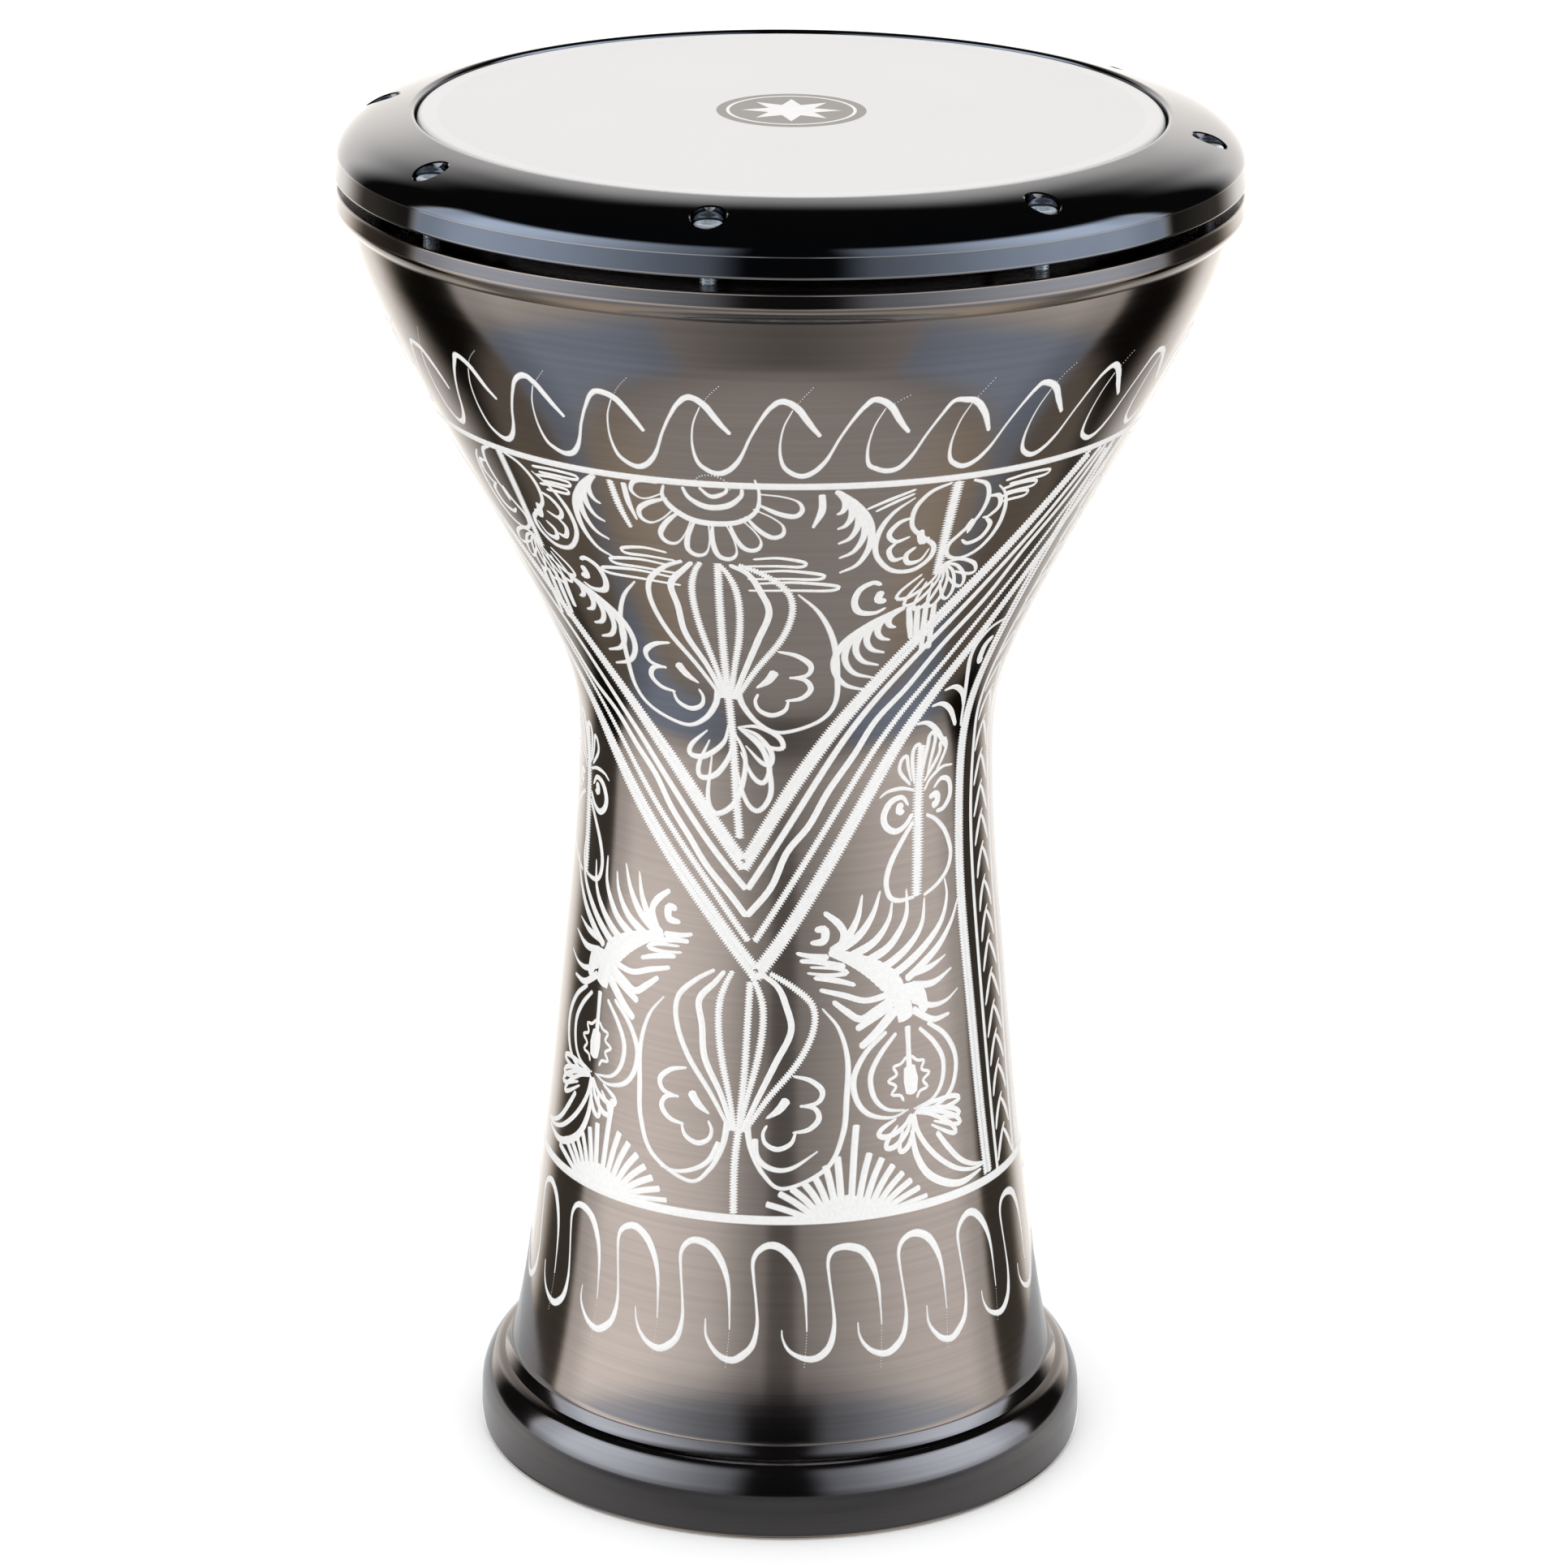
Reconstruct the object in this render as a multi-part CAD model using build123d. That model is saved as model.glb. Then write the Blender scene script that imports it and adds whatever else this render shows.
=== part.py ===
from build123d import *
import os

# Darbuka (goblet drum) with a one-piece cast aluminium shell and a bolted tuning rim.
# Millimetres. The drum stands on its foot: origin at the centre of the foot's resting
# face, +Z up along the drum's axis, -Y to the front.

# ---- Shell ----
WALL = 3.0                # wall of the casting in the bowl and the lower bell
FOOT_R = 96.0             # outer radius of the foot band
FOOT_TOP = 11.2           # height at which the foot band starts to round over
FOOT_EDGE = 2.0           # radius of the foot's outer bottom edge
SHOULDER_R = 18.0         # round on top of the foot band
SHOULDER_TURN = 39        # degrees of that round before the tighter one on its crest
CREST_R = 3.5
CREST_TURN = 41
COVE_FOOT = (88.4, 24.0)  # inner edge of the foot ring's top, where the cove starts
COVE_LAND = 0.35          # upright land between the cove and the bell
FOOT_BORE_R = 88.0        # mouth of the bell at the resting face
BODY_LOW = (86.2, 27.7)   # lower end of the bell
BODY_LINE = [(84.5, 35.0), (78.2, 77.0), (73.5, 117.0), (69.1, 162.0), (65.5, 201.0),
             (64.4, 225.0), (65.4, 246.0), (74.1, 272.0), (88.8, 302.0), (110.0, 342.0),
             (124.9, 372.0), (129.9, 385.0)]
BODY_TOP = (132.7, 395.6)  # sharp corner under the bolt flange
FLANGE_R = 136.9          # outer radius of the bolt flange
FLANGE_Z = 401.1          # height at which the flange reaches its full radius
FLANGE_TOP = (136.35, 404.6)  # top of the flange's tapered wall
FLANGE_LAND = 0.35        # upright land above it, then a chamfer of the same size
SHELF_TOP = 405.3         # flange face that takes the bolts
SHELF_BOTTOM = 396.3      # underside of that shelf, inside the bowl
NECK_R = 111.8            # outside of the neck under the head
NECK_WALL = 3.4
EDGE_TOP = 426.8          # crest of the bearing edge
EDGE_ROUND = 1.6

# ---- Head ----
FILM = 0.25               # polyester film, wrapped under the flesh hoop and bonded to it
FILM_GAP = 0.02           # between the film and what it lies on
FLESH_HOOP_W = 5.6        # radial width of the hoop's section
HOOP_BOTTOM = 410.2
HOOP_TOP = 415.2
WRAP_TOP = 412.6          # end of the film on the outside of the hoop

# ---- Tuning rim ----
RIM_BOTTOM = 409.2
RIM_R = 137.2             # largest outer radius, just above the bottom edge
RIM_EDGE = 0.8            # round of the bottom edge
RIM_WALL_TOP = (136.4, 415.6)  # top of the tapered wall
RIM_LAND = 0.35           # upright land above it
RIM_BORE = 112.7          # clears the film's collar
RIM_INNER_TOP = 426.4
RIM_CROWN = [(129.2, 423.4), (124.5, 425.2)]
RIM_CREST = (114.0, 427.7)
RIM_ROUND = 1.4           # round from the crest into the bore
HOOP_SEAT = 118.4         # radius of the recess that holds the flesh hoop

# ---- Tuning bolts, ISO 4762 M5 x 25 with ISO 7092 washers ----
BOLTS = 8
BOLT_AZ = -10.5           # the bolt nearest the front, degrees from -Y towards +X
BOLT_CIRCLE = 126.0       # radius
BOLT_D = 5.0
BOLT_LENGTH = 25.0
HEAD_D = 8.5
HEAD_H = 5.0
HEX = 4.0                 # across flats of the socket
HEX_DEPTH = 2.5
SEAT_Z = 416.5            # floor of the counterbore in the rim
COUNTERBORE_D = 10.2
RIM_HOLE_D = 5.8
WASHER_D = 9.0
WASHER_HOLE_D = 5.1
WASHER_T = 1.0
TAPPED_D = 5.1            # tapped hole in the shelf, drawn at the thread's outer size
BOSS_R = 7.0
BOSS_BOTTOM = 389.0


def turned(profile):
    """Solid turned about the drum's axis from edges that close a (radius, height) outline."""
    return revolve(Plane.XZ * make_face(profile), Axis.Z)


def bolt_places(z):
    """Locations of the bolts' axes at height z, turned so that each faces outwards."""
    places = []
    for k in range(BOLTS):
        azimuth = BOLT_AZ + k * 360.0 / BOLTS
        places.append(Pos(0, 0, z) * Rot(0, 0, azimuth - 90.0) * Pos(BOLT_CIRCLE, 0, 0))
    return places


def shell():
    """Goblet: foot band, bell, waist, bowl, bolt shelf and neck with the bearing edge."""
    resting = Line((FOOT_BORE_R, 0), (FOOT_R - FOOT_EDGE, 0))
    foot_edge = JernArc(resting @ 1, (1, 0), FOOT_EDGE, 90)
    band = Line(foot_edge @ 1, (FOOT_R - 0.2, FOOT_TOP))
    shoulder = JernArc(band @ 1, band % 1, SHOULDER_R, SHOULDER_TURN)
    crest = JernArc(shoulder @ 1, shoulder % 1, CREST_R, CREST_TURN)
    ring_top = Line(crest @ 1, COVE_FOOT)
    cove = Spline(COVE_FOOT, (BODY_LOW[0] + 0.03, BODY_LOW[1] - COVE_LAND),
                  tangents=((-0.64, 0.77), (-0.37, 0.93)))
    cove_land = Line(cove @ 1, BODY_LOW)
    bell = Spline(BODY_LOW, *BODY_LINE, BODY_TOP, tangents=((-0.26, 1.0), (0.22, 1.0)))
    flange = Spline(BODY_TOP, (135.9, 398.7), (FLANGE_R, FLANGE_Z),
                    tangents=((1.0, 0.75), (-0.1, 1.0)))
    flange_wall = Line(flange @ 1, FLANGE_TOP)
    flange_land = Line(flange_wall @ 1, (FLANGE_TOP[0], FLANGE_TOP[1] + FLANGE_LAND))
    flange_edge = Line(flange_land @ 1, (FLANGE_TOP[0] - FLANGE_LAND, SHELF_TOP))
    shelf = Line(flange_edge @ 1, (NECK_R, SHELF_TOP))
    neck = Line(shelf @ 1, (NECK_R, EDGE_TOP - EDGE_ROUND))
    edge = JernArc(neck @ 1, (0, 1), EDGE_ROUND, 90)
    edge_back = Line(edge @ 1, (NECK_R - NECK_WALL, EDGE_TOP - 1.6))
    neck_in = Line(edge_back @ 1, (NECK_R - NECK_WALL, SHELF_BOTTOM))
    # The inside of the bell and bowl follows the outside at one wall thickness.
    steps = 24
    inside = []
    for i in range(steps + 1):
        t = 0.98 - 0.97 * i / steps
        inside.append(bell @ t + Vector(-(bell % t).Y, (bell % t).X) * WALL)
    cavity = Spline(*inside)
    shelf_in = Line(neck_in @ 1, ((cavity @ 0).X - 4.0, SHELF_BOTTOM))
    haunch = Line(shelf_in @ 1, cavity @ 0)
    mouth = Line(cavity @ 1, (FOOT_BORE_R, 12.0))
    lip = Line(mouth @ 1, (FOOT_BORE_R, 0))
    body = turned([resting, foot_edge, band, shoulder, crest, ring_top, cove, cove_land, bell,
                   flange, flange_wall, flange_land, flange_edge, shelf, neck, edge, edge_back,
                   neck_in, shelf_in, haunch, cavity, mouth, lip])
    up = (Align.CENTER, Align.CENTER, Align.MIN)
    for place in bolt_places(BOSS_BOTTOM):
        boss = place * Cylinder(BOSS_R, SHELF_TOP - BOSS_BOTTOM - 1.0, align=up)
        body += boss & bowl_keep()
    for place in bolt_places(BOSS_BOTTOM - 1.0):
        body -= place * Cylinder(TAPPED_D / 2, SHELF_TOP - BOSS_BOTTOM + 2.0, align=up)
    return body


def bowl_keep():
    """Region in which a boss may stand: inside the outer skin of the bowl."""
    return turned(Polyline((100.0, BOSS_BOTTOM - 2.0), (129.2, BOSS_BOTTOM - 2.0),
                           (132.0, SHELF_TOP), (100.0, SHELF_TOP), close=True))


def tuning_rim():
    """Cast crown ring with a recess for the flesh hoop and eight counterbored holes."""
    bottom_in = (HOOP_SEAT, RIM_BOTTOM)
    bottom_out = (RIM_R - RIM_EDGE, RIM_BOTTOM)
    edge = JernArc(bottom_out, (1, 0), RIM_EDGE, 98)
    wall = Line(edge @ 1, RIM_WALL_TOP)
    land = Line(wall @ 1, (RIM_WALL_TOP[0], RIM_WALL_TOP[1] + RIM_LAND))
    crown = Spline(land @ 1, *RIM_CROWN, RIM_CREST, tangents=((-0.33, 1.0), (-1.0, 0.2)))
    roll_in = RadiusArc(RIM_CREST, (RIM_BORE, RIM_INNER_TOP), -RIM_ROUND)
    bore = Line((RIM_BORE, RIM_INNER_TOP), (RIM_BORE, HOOP_TOP))
    ledge = Line((RIM_BORE, HOOP_TOP), (HOOP_SEAT, HOOP_TOP))
    recess = Line((HOOP_SEAT, HOOP_TOP), bottom_in)
    under = Line(bottom_in, bottom_out)
    rim = turned([under, edge, wall, land, crown, roll_in, bore, ledge, recess])
    for place in bolt_places(RIM_BOTTOM - 1.0):
        rim -= place * Cylinder(RIM_HOLE_D / 2, 12.0,
                                align=(Align.CENTER, Align.CENTER, Align.MIN))
    for place in bolt_places(SEAT_Z):
        rim -= place * Cylinder(COUNTERBORE_D / 2, 20.0,
                                align=(Align.CENTER, Align.CENTER, Align.MIN))
    return rim


def head_film():
    """Drum head film: playing surface, collar over the bearing edge, wrap under the hoop."""
    r_in = NECK_R + FILM_GAP
    r_out = r_in + FILM
    z_under = HOOP_BOTTOM - FILM_GAP - FILM
    wrap_in = r_out + FLESH_HOOP_W + 2 * FILM_GAP
    bend = EDGE_ROUND + FILM_GAP
    z_in = EDGE_TOP + FILM_GAP
    z_out = z_in + FILM
    return turned([
        Line((0, z_in), (r_in - bend, z_in)),
        JernArc((r_in - bend, z_in), (1, 0), bend, -90),
        Line((r_in, z_in - bend), (r_in, z_under)),
        Line((r_in, z_under), (wrap_in + FILM, z_under)),
        Line((wrap_in + FILM, z_under), (wrap_in + FILM, WRAP_TOP)),
        Line((wrap_in + FILM, WRAP_TOP), (wrap_in, WRAP_TOP)),
        Line((wrap_in, WRAP_TOP), (wrap_in, z_under + FILM)),
        Line((wrap_in, z_under + FILM), (r_out, z_under + FILM)),
        Line((r_out, z_under + FILM), (r_out, z_in - bend)),
        JernArc((r_out, z_in - bend), (0, 1), bend + FILM, 90),
        Line((r_in - bend, z_out), (0, z_out)),
        Line((0, z_out), (0, z_in)),
    ])


def flesh_hoop():
    """Aluminium hoop inside the film's wrap, pressed down by the rim's ledge."""
    r_in = NECK_R + FILM_GAP + FILM + FILM_GAP
    section = Pos(r_in + FLESH_HOOP_W / 2, (HOOP_BOTTOM + HOOP_TOP) / 2) * RectangleRounded(
        FLESH_HOOP_W, HOOP_TOP - HOOP_BOTTOM, 0.5)
    return revolve(Plane.XZ * section, Axis.Z)


def washer():
    """Plain washer on the counterbore's floor, its lower face at height 0."""
    up = (Align.CENTER, Align.CENTER, Align.MIN)
    return Cylinder(WASHER_D / 2, WASHER_T, align=up) - Cylinder(WASHER_HOLE_D / 2, WASHER_T, align=up)


def bolt():
    """Socket-head cap screw, underside of its head at height 0."""
    up = (Align.CENTER, Align.CENTER, Align.MIN)
    down = (Align.CENTER, Align.CENTER, Align.MAX)
    head = chamfer(Cylinder(HEAD_D / 2, HEAD_H, align=up).edges().group_by(Axis.Z)[-1], 0.4)
    socket = extrude(RegularPolygon(HEX / 2, 6, major_radius=False), HEX_DEPTH + 1.0)
    head -= Pos(0, 0, HEAD_H - HEX_DEPTH) * socket
    shank = chamfer(Cylinder(BOLT_D / 2, BOLT_LENGTH, align=down).edges().group_by(Axis.Z)[0], 0.5)
    return head + shank


def save(shape, name):
    """One named piece as one STEP file."""
    piece = shape if isinstance(shape, Solid) else shape.solid()
    piece.label = name
    export_step(piece, "parts/" + name + ".step")


os.makedirs("parts", exist_ok=True)
save(shell(), "shell")
save(head_film(), "head_film")
save(flesh_hoop(), "flesh_hoop")
save(tuning_rim(), "tuning_rim")
for number, place in enumerate(bolt_places(SEAT_Z), start=1):
    save(place * washer(), "washer_" + str(number))
for number, place in enumerate(bolt_places(SEAT_Z + WASHER_T), start=1):
    save(place * bolt(), "tuning_bolt_" + str(number))
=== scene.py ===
import math

import bpy
import numpy as np
from mathutils import Matrix, Vector


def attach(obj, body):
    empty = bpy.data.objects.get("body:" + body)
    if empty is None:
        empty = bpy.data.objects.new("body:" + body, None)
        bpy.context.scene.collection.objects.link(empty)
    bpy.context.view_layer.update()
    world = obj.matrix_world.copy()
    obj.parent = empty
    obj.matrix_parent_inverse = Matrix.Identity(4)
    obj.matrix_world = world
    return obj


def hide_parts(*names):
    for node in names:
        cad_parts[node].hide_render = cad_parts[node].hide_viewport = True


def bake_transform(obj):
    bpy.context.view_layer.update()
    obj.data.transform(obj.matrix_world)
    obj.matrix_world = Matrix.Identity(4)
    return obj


# Darbuka: the CAD model is the frame, and this script adds the finish. Lengths are in
# millimetres up to the point where a mesh is made, and metres after that.

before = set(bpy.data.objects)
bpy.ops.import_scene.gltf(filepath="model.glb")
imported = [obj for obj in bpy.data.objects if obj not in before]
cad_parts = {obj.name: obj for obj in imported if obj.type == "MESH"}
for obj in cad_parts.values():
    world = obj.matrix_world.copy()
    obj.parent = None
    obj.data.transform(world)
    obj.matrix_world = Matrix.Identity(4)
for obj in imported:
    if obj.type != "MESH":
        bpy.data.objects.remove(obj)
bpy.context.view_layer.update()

MM = 0.001
RAD = math.pi / 180.0

# ---- Shell profile, (radius, height) ----
WALL = 3.0
FOOT_R = 96.0
FOOT_TOP = 11.2
FOOT_EDGE = 2.0
FOOT_DRAFT = 0.2          # the shoulder stands this far inside the foot's edge
SHOULDER_R = 18.0
SHOULDER_TURN = 39
CREST_R = 3.5
CREST_TURN = 41
COVE_FOOT = (88.4, 24.0)
COVE_LAND = 0.35
COVE_LEAN = 0.03
FOOT_BORE_R = 88.0
FOOT_BORE_TOP = 12.0
BODY_LOW = (86.2, 27.7)
BODY_LINE = [(84.5, 35.0), (78.2, 77.0), (73.5, 117.0), (69.1, 162.0), (65.5, 201.0), (64.4, 225.0),
             (65.4, 246.0), (74.1, 272.0), (88.8, 302.0), (110.0, 342.0), (124.9, 372.0), (129.9, 385.0)]
BODY_TOP = (132.7, 395.6)
FLANGE_FILLET = (135.9, 398.7)
FLANGE_R = 136.9
FLANGE_Z = 401.1
FLANGE_TOP = (136.35, 404.6)
FLANGE_LAND = 0.35
SHELF_TOP = 405.3
SHELF_BOTTOM = 396.3
NECK_R = 111.8
NECK_WALL = 3.4
EDGE_TOP = 426.8
EDGE_ROUND = 1.6
SHELF_IN = 112.0          # the bolt shelf is meshed apart from the bowl and the neck,
SHELF_OUT = 134.0         # between these two radii,
LAP = 1.0                 # and runs this far into each of them

# ---- Head ----
FILM = 0.25
FILM_GAP = 0.02
FLESH_HOOP_W = 5.6
HOOP_BOTTOM = 410.2
WRAP_TOP = 412.6
MEDALLION_R = 22.5
MEDALLION_RING = (19.6, 18.6)
MEDALLION_STAR = (15.0, 7.4)
PRINT_T = 0.04

# ---- Tuning rim ----
RIM_BOTTOM = 409.2
RIM_R = 137.2
RIM_EDGE = 0.8
RIM_WALL_TOP = (136.4, 415.6)
RIM_LAND = 0.35
RIM_BORE = 112.7
RIM_INNER_TOP = 426.4
RIM_CROWN = [(129.2, 423.4), (124.5, 425.2)]
RIM_CREST = (114.0, 427.7)
RIM_ROUND = 1.4
HOOP_SEAT = 118.4
HOOP_TOP = 415.2
RIM_HOLE_R = 2.9
COUNTERBORE_R = 5.1
COUNTERBORE_CHAMFER = 0.45
SEAT_Z = 416.5

# ---- Screws, M5 x 25 ----
BOLTS = 8
BOLT_AZ = -10.5
BOLT_CIRCLE = 126.0
HEAD_UNDER = 417.5
HEAD_R = 4.25
HEAD_H = 5.0
HEX = 4.0
HEX_DEPTH = 2.5
SHANK_R = 2.5
SHANK = 25.0
PITCH = 0.8
THREAD_DEPTH = 0.43
KNURL_DEPTH = 0.10
BOSS_R = 7.0
BOSS_REACH = (129.0, 132.0)    # the bosses end at these radii, at the bottom and at the top
BOSS_BOTTOM = 389.0
TAPPED_R = 2.6

# ---- Segments round the axis ----
SHELL_SEGMENTS = 288
RIM_SEGMENTS = 480
FILM_SEGMENTS = 240
SMALL_SEGMENTS = 192


# ================================================================ curves and meshes

def spline(points, start, end, step=1.0):
    """Smooth curve through the points, with the given end directions, as an array."""
    p = np.array(points, float)
    h = np.hypot(*np.diff(p, axis=0).T)
    n = len(p)
    lhs = np.zeros((n, n))
    rhs = np.zeros((n, 2))
    lhs[0, 0] = lhs[-1, -1] = 1.0
    rhs[0] = np.array(start) / np.hypot(*start)
    rhs[-1] = np.array(end) / np.hypot(*end)
    for i in range(1, n - 1):
        lhs[i, i - 1:i + 2] = h[i], 2.0 * (h[i - 1] + h[i]), h[i - 1]
        rhs[i] = 3.0 * (h[i] * (p[i] - p[i - 1]) / h[i - 1] + h[i - 1] * (p[i + 1] - p[i]) / h[i])
    slope = np.linalg.solve(lhs, rhs)
    out = []
    for i in range(n - 1):
        count = max(2, int(math.ceil(h[i] / step)))
        t = np.arange(count)[:, None] / count
        out.append((1 + 2 * t) * (1 - t) ** 2 * p[i] + t * (1 - t) ** 2 * h[i] * slope[i]
                   + t * t * (3 - 2 * t) * p[i + 1] - t * t * (1 - t) * h[i] * slope[i + 1])
    out.append(p[-1:])
    return np.vstack(out)


def arc(centre, radius, start, end, count=8):
    """Points on a circle between two angles in degrees."""
    t = np.linspace(start, end, count + 1) * RAD
    return np.column_stack((centre[0] + radius * np.cos(t), centre[1] + radius * np.sin(t)))


def facet(a, b, margin=0.07):
    """Straight stretch with a support ring close to each end, which keeps its shading flat."""
    a, b = np.array(a, float), np.array(b, float)
    inset = (b - a) * margin / np.hypot(*(b - a))
    return np.vstack((a, a + inset, b - inset))


def ringed(name, rings, segments, closed=True, at=(0.0, 0.0), sharp=30.0):
    """Mesh of rings round a vertical axis; a ring is (radius, height), each a number or one per segment."""
    turn = np.arange(segments) * 2.0 * math.pi / segments
    verts = []
    for radius, z in rings:
        radius = np.broadcast_to(radius, segments)
        verts.append(np.column_stack((at[0] + radius * np.sin(turn), at[1] - radius * np.cos(turn),
                                      np.broadcast_to(z, segments))))
    rows = len(rings)
    here = np.arange(segments)
    after = (here + 1) % segments
    faces = []
    for i in range(rows if closed else rows - 1):
        j = (i + 1) % rows
        faces.append(np.column_stack((i * segments + here, i * segments + after,
                                      j * segments + after, j * segments + here)))
    faces = [tuple(f) for f in np.vstack(faces).tolist()]
    if not closed:
        faces.append(tuple(range(segments - 1, -1, -1)))
        faces.append(tuple(range((rows - 1) * segments, rows * segments)))
    return piece(name, np.vstack(verts), faces, sharp)


def piece(name, verts, faces, sharp=30.0):
    """Object from vertices in millimetres."""
    mesh = bpy.data.meshes.new(name)
    mesh.from_pydata((np.asarray(verts) * MM).tolist(), [], faces)
    mesh.validate()
    mesh.polygons.foreach_set("use_smooth", [sharp > 0] * len(mesh.polygons))
    if sharp > 0:
        mesh.set_sharp_from_angle(angle=sharp * RAD)
    mesh.update()
    obj = bpy.data.objects.new(name, mesh)
    bpy.context.scene.collection.objects.link(obj)
    return obj


def carve(obj, tools, operation, sharp=30.0):
    """Boolean of obj with the tools, which are then removed."""
    for tool in tools:
        change = obj.modifiers.new("carve", "BOOLEAN")
        change.operation = operation
        change.solver = "EXACT"
        change.object = tool
    bpy.context.view_layer.update()
    result = bpy.data.meshes.new_from_object(obj.evaluated_get(bpy.context.evaluated_depsgraph_get()))
    obj.modifiers.clear()
    obj.data = result
    result.set_sharp_from_angle(angle=sharp * RAD)
    for tool in tools:
        bpy.data.objects.remove(tool)


def finish_piece(obj, body, material):
    """Material, slot and the body that the piece rides on."""
    obj.data.materials.clear()
    obj.data.materials.append(material)
    if body:
        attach(obj, body)


def bolt_places():
    """Number and centre of each screw."""
    for k in range(BOLTS):
        azimuth = (BOLT_AZ + k * 360.0 / BOLTS) * RAD
        yield k + 1, (BOLT_CIRCLE * math.sin(azimuth), -BOLT_CIRCLE * math.cos(azimuth))


# ================================================================ materials

class Nodes:
    """Node tree with short calls for the maths."""

    def __init__(self, tree):
        self.tree = tree
        tree.nodes.clear()

    def new(self, kind, **settings):
        node = self.tree.nodes.new(kind)
        for key, value in settings.items():
            setattr(node, key, value)
        return node

    def feed(self, socket, value):
        if isinstance(value, bpy.types.NodeSocket):
            self.tree.links.new(value, socket)
        else:
            socket.default_value = value

    def math(self, operation, *values):
        node = self.new("ShaderNodeMath", operation=operation)
        for socket, value in zip(node.inputs, values):
            self.feed(socket, value)
        return node.outputs[0]

    def fade(self, value, none, full):
        """Smooth change from 0 where value is none to 1 where it is full."""
        node = self.new("ShaderNodeMapRange", interpolation_type="SMOOTHSTEP")
        self.feed(node.inputs[0], value)
        low_to_high = (none, full, 0.0, 1.0) if none < full else (full, none, 1.0, 0.0)
        for socket, number in zip(node.inputs[1:5], low_to_high):
            socket.default_value = number
        return node.outputs[0]

    def product(self, *values):
        result = values[0]
        for value in values[1:]:
            result = self.math("MULTIPLY", result, value)
        return result

    def ramp(self, value, stops):
        """Colour ramp; a stop is (position, colour)."""
        node = self.new("ShaderNodeValToRGB")
        self.feed(node.inputs[0], value)
        while len(node.color_ramp.elements) < len(stops):
            node.color_ramp.elements.new(0.5)
        for element, (position, colour) in zip(node.color_ramp.elements, stops):
            element.position = position
            element.color = (*colour, 1.0)
        return node.outputs[0]

    def mix(self, factor, a, b, blend="MIX"):
        node = self.new("ShaderNodeMix", data_type="RGBA", blend_type=blend)
        self.feed(node.inputs[0], factor)
        self.feed(node.inputs[6], a)
        self.feed(node.inputs[7], b)
        return node.outputs[2]

    def noise(self, scale, detail=3.0, vector=None, stretch=None):
        """Noise in object space, stretched along the axes."""
        if vector is None:
            vector = self.new("ShaderNodeTexCoord").outputs["Object"]
        if stretch:
            mapping = self.new("ShaderNodeMapping")
            mapping.inputs["Scale"].default_value = stretch
            self.feed(mapping.inputs[0], vector)
            vector = mapping.outputs[0]
        node = self.new("ShaderNodeTexNoise")
        self.feed(node.inputs["Vector"], vector)
        node.inputs["Scale"].default_value = scale
        node.inputs["Detail"].default_value = detail
        return node.outputs["Fac"]


def material(name, colour, dark, metallic, roughness, spread=0.05, scale=60.0, stretch=(1, 1, 1),
             bump=0.0, bump_scale=400.0, bump_stretch=(1, 1, 1)):
    """Principled material with a mottled colour, a mottled roughness and a fine bump."""
    made = bpy.data.materials.new(name)
    made.use_nodes = True
    n = Nodes(made.node_tree)
    shader = n.new("ShaderNodeBsdfPrincipled")
    out = n.new("ShaderNodeOutputMaterial")
    n.tree.links.new(shader.outputs[0], out.inputs[0])
    mottle = n.noise(scale, 4.0, stretch=stretch)
    n.feed(shader.inputs["Base Color"], n.ramp(mottle, [(0.3, dark), (0.7, colour)]))
    n.feed(shader.inputs["Roughness"], n.math("MULTIPLY_ADD", mottle, 2.0 * spread, roughness - spread))
    shader.inputs["Metallic"].default_value = metallic
    if bump:
        grain = n.noise(bump_scale, 2.0, stretch=bump_stretch)
        node = n.new("ShaderNodeBump")
        node.inputs["Strength"].default_value = bump
        node.inputs["Distance"].default_value = 0.0001
        n.feed(node.inputs["Height"], grain)
        n.feed(shader.inputs["Normal"], node.outputs[0])
    return made


shell_metal = material("black_nickel_turned", (0.197, 0.178, 0.171), (0.173, 0.157, 0.151), 1.0, 0.12, 0.02,
                       scale=12.0, stretch=(0.25, 0.25, 60.0), bump=0.035, bump_scale=30.0,
                       bump_stretch=(0.02, 0.02, 60.0))
rim_metal = material("black_nickel_polished", (0.165, 0.172, 0.19), (0.145, 0.152, 0.168), 1.0, 0.06, 0.015,
                     scale=25.0)
cut_metal = material("engraved_aluminium", (0.74, 0.735, 0.728), (0.68, 0.675, 0.668), 0.15, 0.5, 0.06,
                     scale=900.0)
print_grey = material("medallion_grey", (0.215, 0.20, 0.187), (0.195, 0.182, 0.17), 0.0, 0.45, 0.04,
                      scale=300.0)
print_white = material("medallion_white", (0.66, 0.66, 0.66), (0.62, 0.62, 0.62), 0.0, 0.42, 0.04,
                       scale=300.0)


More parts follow.
